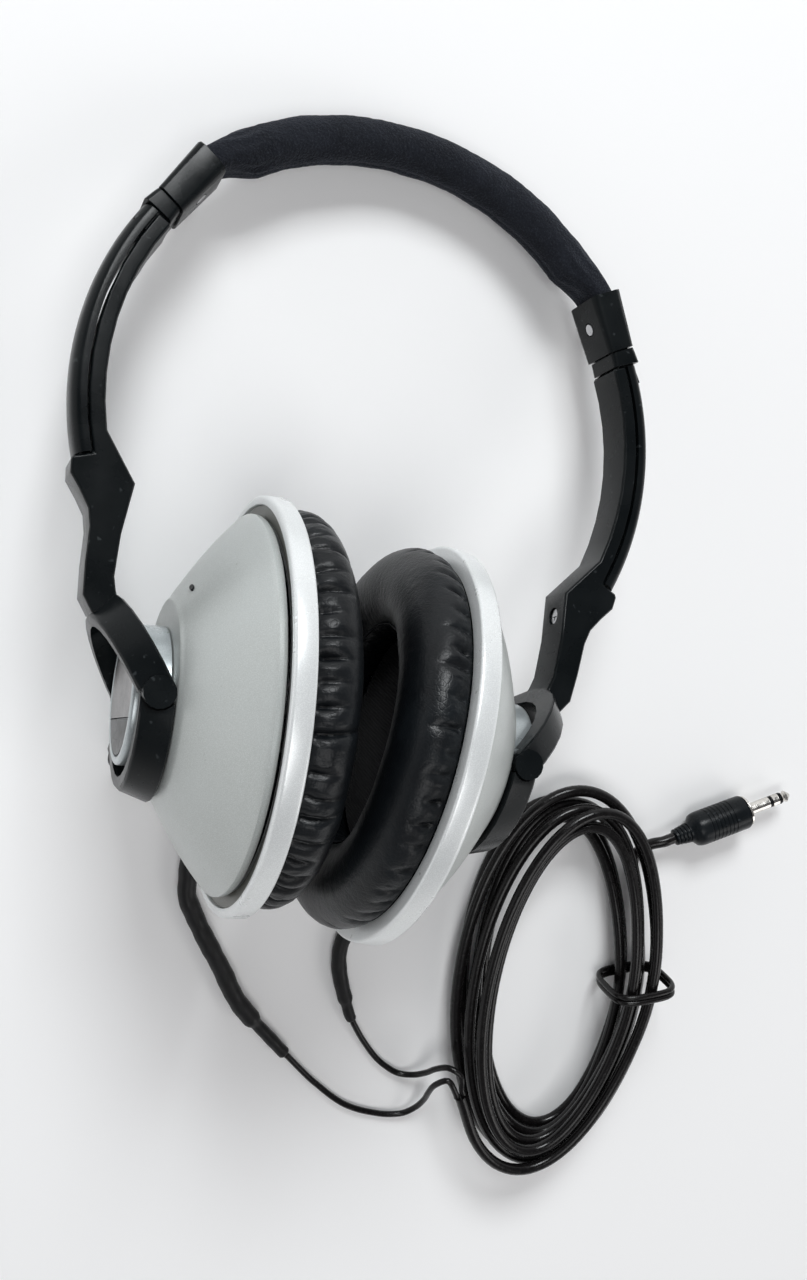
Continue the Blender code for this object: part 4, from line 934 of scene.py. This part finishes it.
def inflate(rings, name):
    """Blow up a slightly smaller closed ring with cloth pressure and hand back its points in millimetres."""
    bm = bmesh.new()
    skin(bm, [[Vector(p) * MM for p in ring] for ring in rings], True)
    bmesh.ops.recalc_face_normals(bm, faces=bm.faces)
    mesh = bpy.data.meshes.new(name)
    bm.to_mesh(mesh)
    bm.free()
    obj = linked(name, mesh)
    foot = obj.vertex_groups.new(name="foot")
    rest = [v.co.copy() for v in mesh.vertices]
    for v in mesh.vertices:
        depth = -v.co.x / MM
        foot.add([v.index], 1.0 - smoothstep((depth - 0.6) / 3.0), "REPLACE")
    cloth = obj.modifiers.new("cloth", "CLOTH")
    cloth.settings.quality = 4
    cloth.settings.mass = 0.05
    cloth.settings.tension_stiffness = 12
    cloth.settings.compression_stiffness = 8
    cloth.settings.shear_stiffness = 6
    cloth.settings.bending_stiffness = 0.4
    cloth.settings.use_pressure = True
    cloth.settings.uniform_pressure_force = 2.5
    cloth.settings.vertex_group_mass = "foot"
    cloth.settings.effector_weights.gravity = 0.0
    cloth.collision_settings.use_collision = False
    scene = bpy.context.scene
    for frame_number in range(1, 15):
        scene.frame_set(frame_number)
    dg = bpy.context.evaluated_depsgraph_get()
    done = obj.evaluated_get(dg).to_mesh()
    moved = []
    for v, start in zip(done.vertices, rest):
        step = v.co - start
        if step.length > LONGEST_STEP:
            step = step.normalized() * LONGEST_STEP
        moved.append(start + step)
    obj.evaluated_get(dg).to_mesh_clear()
    scene.frame_set(1)
    bpy.data.objects.remove(obj)
    width = len(rings[0])
    return [[moved[i * width + k] / MM for k in range(width)] for i in range(len(rings))]


def blown_crown(tag):
    coarse = []
    for i in range(CROWN_AROUND):
        turn = TAU * i / CROWN_AROUND
        coarse.append([(-d, r * math.sin(turn), r * math.cos(turn)) for d, r, _ in ring_section(CROWN_ACROSS, 0.5)])
    return inflate(coarse, "cushion_try_" + tag)


def crown_at(crown, turn, share):
    """Depth and radius of the blown-up ring, between its coarse points."""
    a = turn / TAU * CROWN_AROUND
    low_i, fa = int(a) % CROWN_AROUND, a - int(a)
    b = share * CROWN_ACROSS
    low_k = min(CROWN_ACROSS - 1, int(b))
    fb = b - low_k
    depth = radius = 0.0
    for di, wi in ((0, 1 - fa), (1, fa)):
        for dk, wk in ((0, 1 - fb), (1, fb)):
            p = crown[(low_i + di) % CROWN_AROUND][low_k + dk]
            depth += -p.x * wi * wk
            radius += math.hypot(p.y, p.z) * wi * wk
    return depth, radius


def draw_pleats(tag, side):
    """For each pleat, where it starts, how hard it pulls, how far it reaches and how it slants."""
    rng = random.Random(11 if side < 0 else 23)
    lines = [(i + rng.uniform(-0.27, 0.27)) / PLEATS * 2 * math.pi for i in range(PLEATS)]
    pull = [PLEAT_PULL[tag] * rng.uniform(0.5, 1.25) for _ in range(PLEATS)]
    reach = [PLEAT_REACH[tag] * rng.uniform(0.55, 1.0) * (0.75 if i % 2 else 1.0) for i in range(PLEATS)]
    slant = [rng.uniform(-0.035, 0.035) for _ in range(PLEATS)]
    return list(zip(lines, pull, reach, slant))


def gathered(pleats, turn, share, side):
    """How far the leatherette stands out from the plain ring: pleats, the tuck at the ear hole and wrinkles."""
    nearest, distance = pleats[0], 10.0
    for pleat in pleats:
        place = pleat[0] + pleat[3] * share * 2.0
        delta = abs((turn - place + math.pi) % TAU - math.pi)
        if delta < distance:
            nearest, distance = pleat, delta
    _, strength, reach, _ = nearest
    u = min(1.0, distance / (math.pi / PLEATS))
    crease = 0.62 * math.exp(-u / 0.20) + 0.38 * (1.0 - u) ** 2
    envelope = smoothstep(share / 0.03) * (1.0 - smoothstep((share - reach * 0.25) / (reach * 0.8)))
    pull = 2.15 * strength * crease * envelope
    tuck = smoothstep((share - 0.70) / 0.2) * 0.35 * crease
    softly = 0.30 * noise.noise(Vector((math.cos(turn) * 3.1, math.sin(turn) * 3.1, share * 4.0 + side)))
    wrinkle = 0.20 * envelope * noise.noise(Vector((turn * 60.0, share * 16.0, side * 3.0)))
    wrinkle += 0.05 * noise.noise(Vector((turn * 26.0, share * 30.0, side * 7.0)))
    return -pull - tuck + softly * math.sin(math.pi * share) + wrinkle


def make_cushion(tag, side, place):
    """Leatherette ring: pressed up by its foam, gathered into pleats at the rim and tucked in at the ear hole."""
    pleats = draw_pleats(tag, side)
    crown = blown_crown(tag)
    section = ring_section(CUSHION_ACROSS)
    rings = []
    for i in range(CUSHION_AROUND):
        turn = TAU * i / CUSHION_AROUND
        ring = []
        for depth, radius, share in section:
            if crown is not None:
                crown_depth, crown_radius = crown_at(crown, turn, share)
                depth = (1 - CROWN_SHARE) * depth + CROWN_SHARE * crown_depth
                radius = (1 - CROWN_SHARE) * radius + CROWN_SHARE * crown_radius
            out_by = gathered(pleats, turn, share, side)
            angle = section_angle(share)
            radius += out_by * math.cos(angle)
            depth = min(depth + out_by * math.sin(angle) * 0.75, CUSHION_DEPTH + 0.15)
            ring.append(place(-depth - PIVOT_FROM_RIM, radius * math.sin(turn), radius * math.cos(turn)))
        rings.append(ring)
    cushion = skinned("ear_cushion_" + tag, rings, LEATHER, "cup_" + tag, closed_along=True)
    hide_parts("cushion_" + tag)


def make_seam(tag, place):
    """The stitched thread round the ear hole."""
    rings = []
    for i in range(SEAM_POINTS):
        turn = TAU * i / SEAM_POINTS
        centre = Vector((0, math.sin(turn), math.cos(turn)))
        radius = SEAM_RADIUS + 0.05 * math.sin(22 * turn)
        stitch = 0.24 + 0.13 * abs(math.sin(turn * 55))
        ring = []
        for s in (TAU * k / 8 for k in range(8)):
            p = centre * (radius + stitch * math.cos(s)) + Vector((-(SEAM_DEPTH + stitch * math.sin(s)), 0, 0))
            ring.append(place(p.x - PIVOT_FROM_RIM, p.y, p.z))
        rings.append(ring)
    stitched = skinned("cushion_seam_" + tag, rings, THREAD, "cup_" + tag, closed_along=True)


SCREEN_RADIUS = 25.0
SCREEN_SIDES = 72
SCREEN_RINGS = 12


def make_screen(tag, place):
    """The driver's cloth, drawn tight over its ring with a slight dome."""
    bm = bmesh.new()
    rows = []
    for k in range(SCREEN_RINGS + 1):
        r = SCREEN_RADIUS * k / SCREEN_RINGS
        axial = -0.55 - 0.28 * math.cos(math.pi / 2 * min(1.0, r / SCREEN_RADIUS))
        ring = []
        for i in range(SCREEN_SIDES if k else 1):
            t = TAU * i / SCREEN_SIDES
            ring.append(bm.verts.new(place(axial - PIVOT_FROM_RIM, r * math.sin(t), r * math.cos(t))))
        rows.append(ring)
    for i in range(SCREEN_SIDES):
        j = (i + 1) % SCREEN_SIDES
        bm.faces.new((rows[0][0], rows[1][i], rows[1][j]))
        for a, b in zip(rows[1:], rows[2:]):
            bm.faces.new((a[i], b[i], b[j], a[j]))
    cloth = made("driver_cloth_" + tag, bm, SCREEN, "cup_" + tag)
    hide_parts("dust_screen_" + tag)


# ------------------------------------------------------------------ the whole scene
SKY = [(0.0, grey(BACKDROP)), (0.22, (0.80, 0.80, 0.81)), (0.55, (0.18, 0.18, 0.19)), (1.0, (0.12, 0.12, 0.125))]
FLOOR_HALF = 3
FLOOR_DROP = 0.0003


def make_floor():
    mesh = bpy.data.meshes.new("table_top")
    corners = [(x * FLOOR_HALF, y * FLOOR_HALF, 0) for x, y in ((-1, -1), (1, -1), (1, 1), (-1, 1))]
    mesh.from_pydata(corners, [], [(0, 1, 2, 3)])
    mesh.materials.append(floor_material())
    table_top = linked("table_top", mesh)
    table_top.location.z = -FLOOR_DROP


def make_sky():
    """Even light from the horizon that falls off overhead."""
    world = bpy.data.worlds.new("studio")
    bpy.context.scene.world = world
    world.use_nodes = True
    nodes, links = world.node_tree.nodes, world.node_tree.links
    split = nodes.new("ShaderNodeSeparateXYZ")
    links.new(nodes.new("ShaderNodeTexCoord").outputs["Generated"], split.inputs["Vector"])
    links.new(ramp_node(nodes, links, split.outputs["Z"], SKY), nodes["Background"].inputs["Color"])
    nodes["Background"].inputs["Strength"].default_value = 1.0


add_camera()
dress_nodes()
make_cords()
make_band()
for tag, side in SIDES:
    placer = cup_placer(tag, side)
    make_cone(tag, placer)
    make_port(tag, placer)
    make_rim(tag, placer)
    make_boss(tag, placer)
    make_rigid(tag)
    make_arm_shell(tag, side)
    make_cushion(tag, side, placer)
    make_seam(tag, placer)
    make_screen(tag, placer)
make_floor()
make_sky()
for lamp in LAMPS:
    area_light(*lamp)
bpy.context.scene.view_settings.view_transform = "Standard"
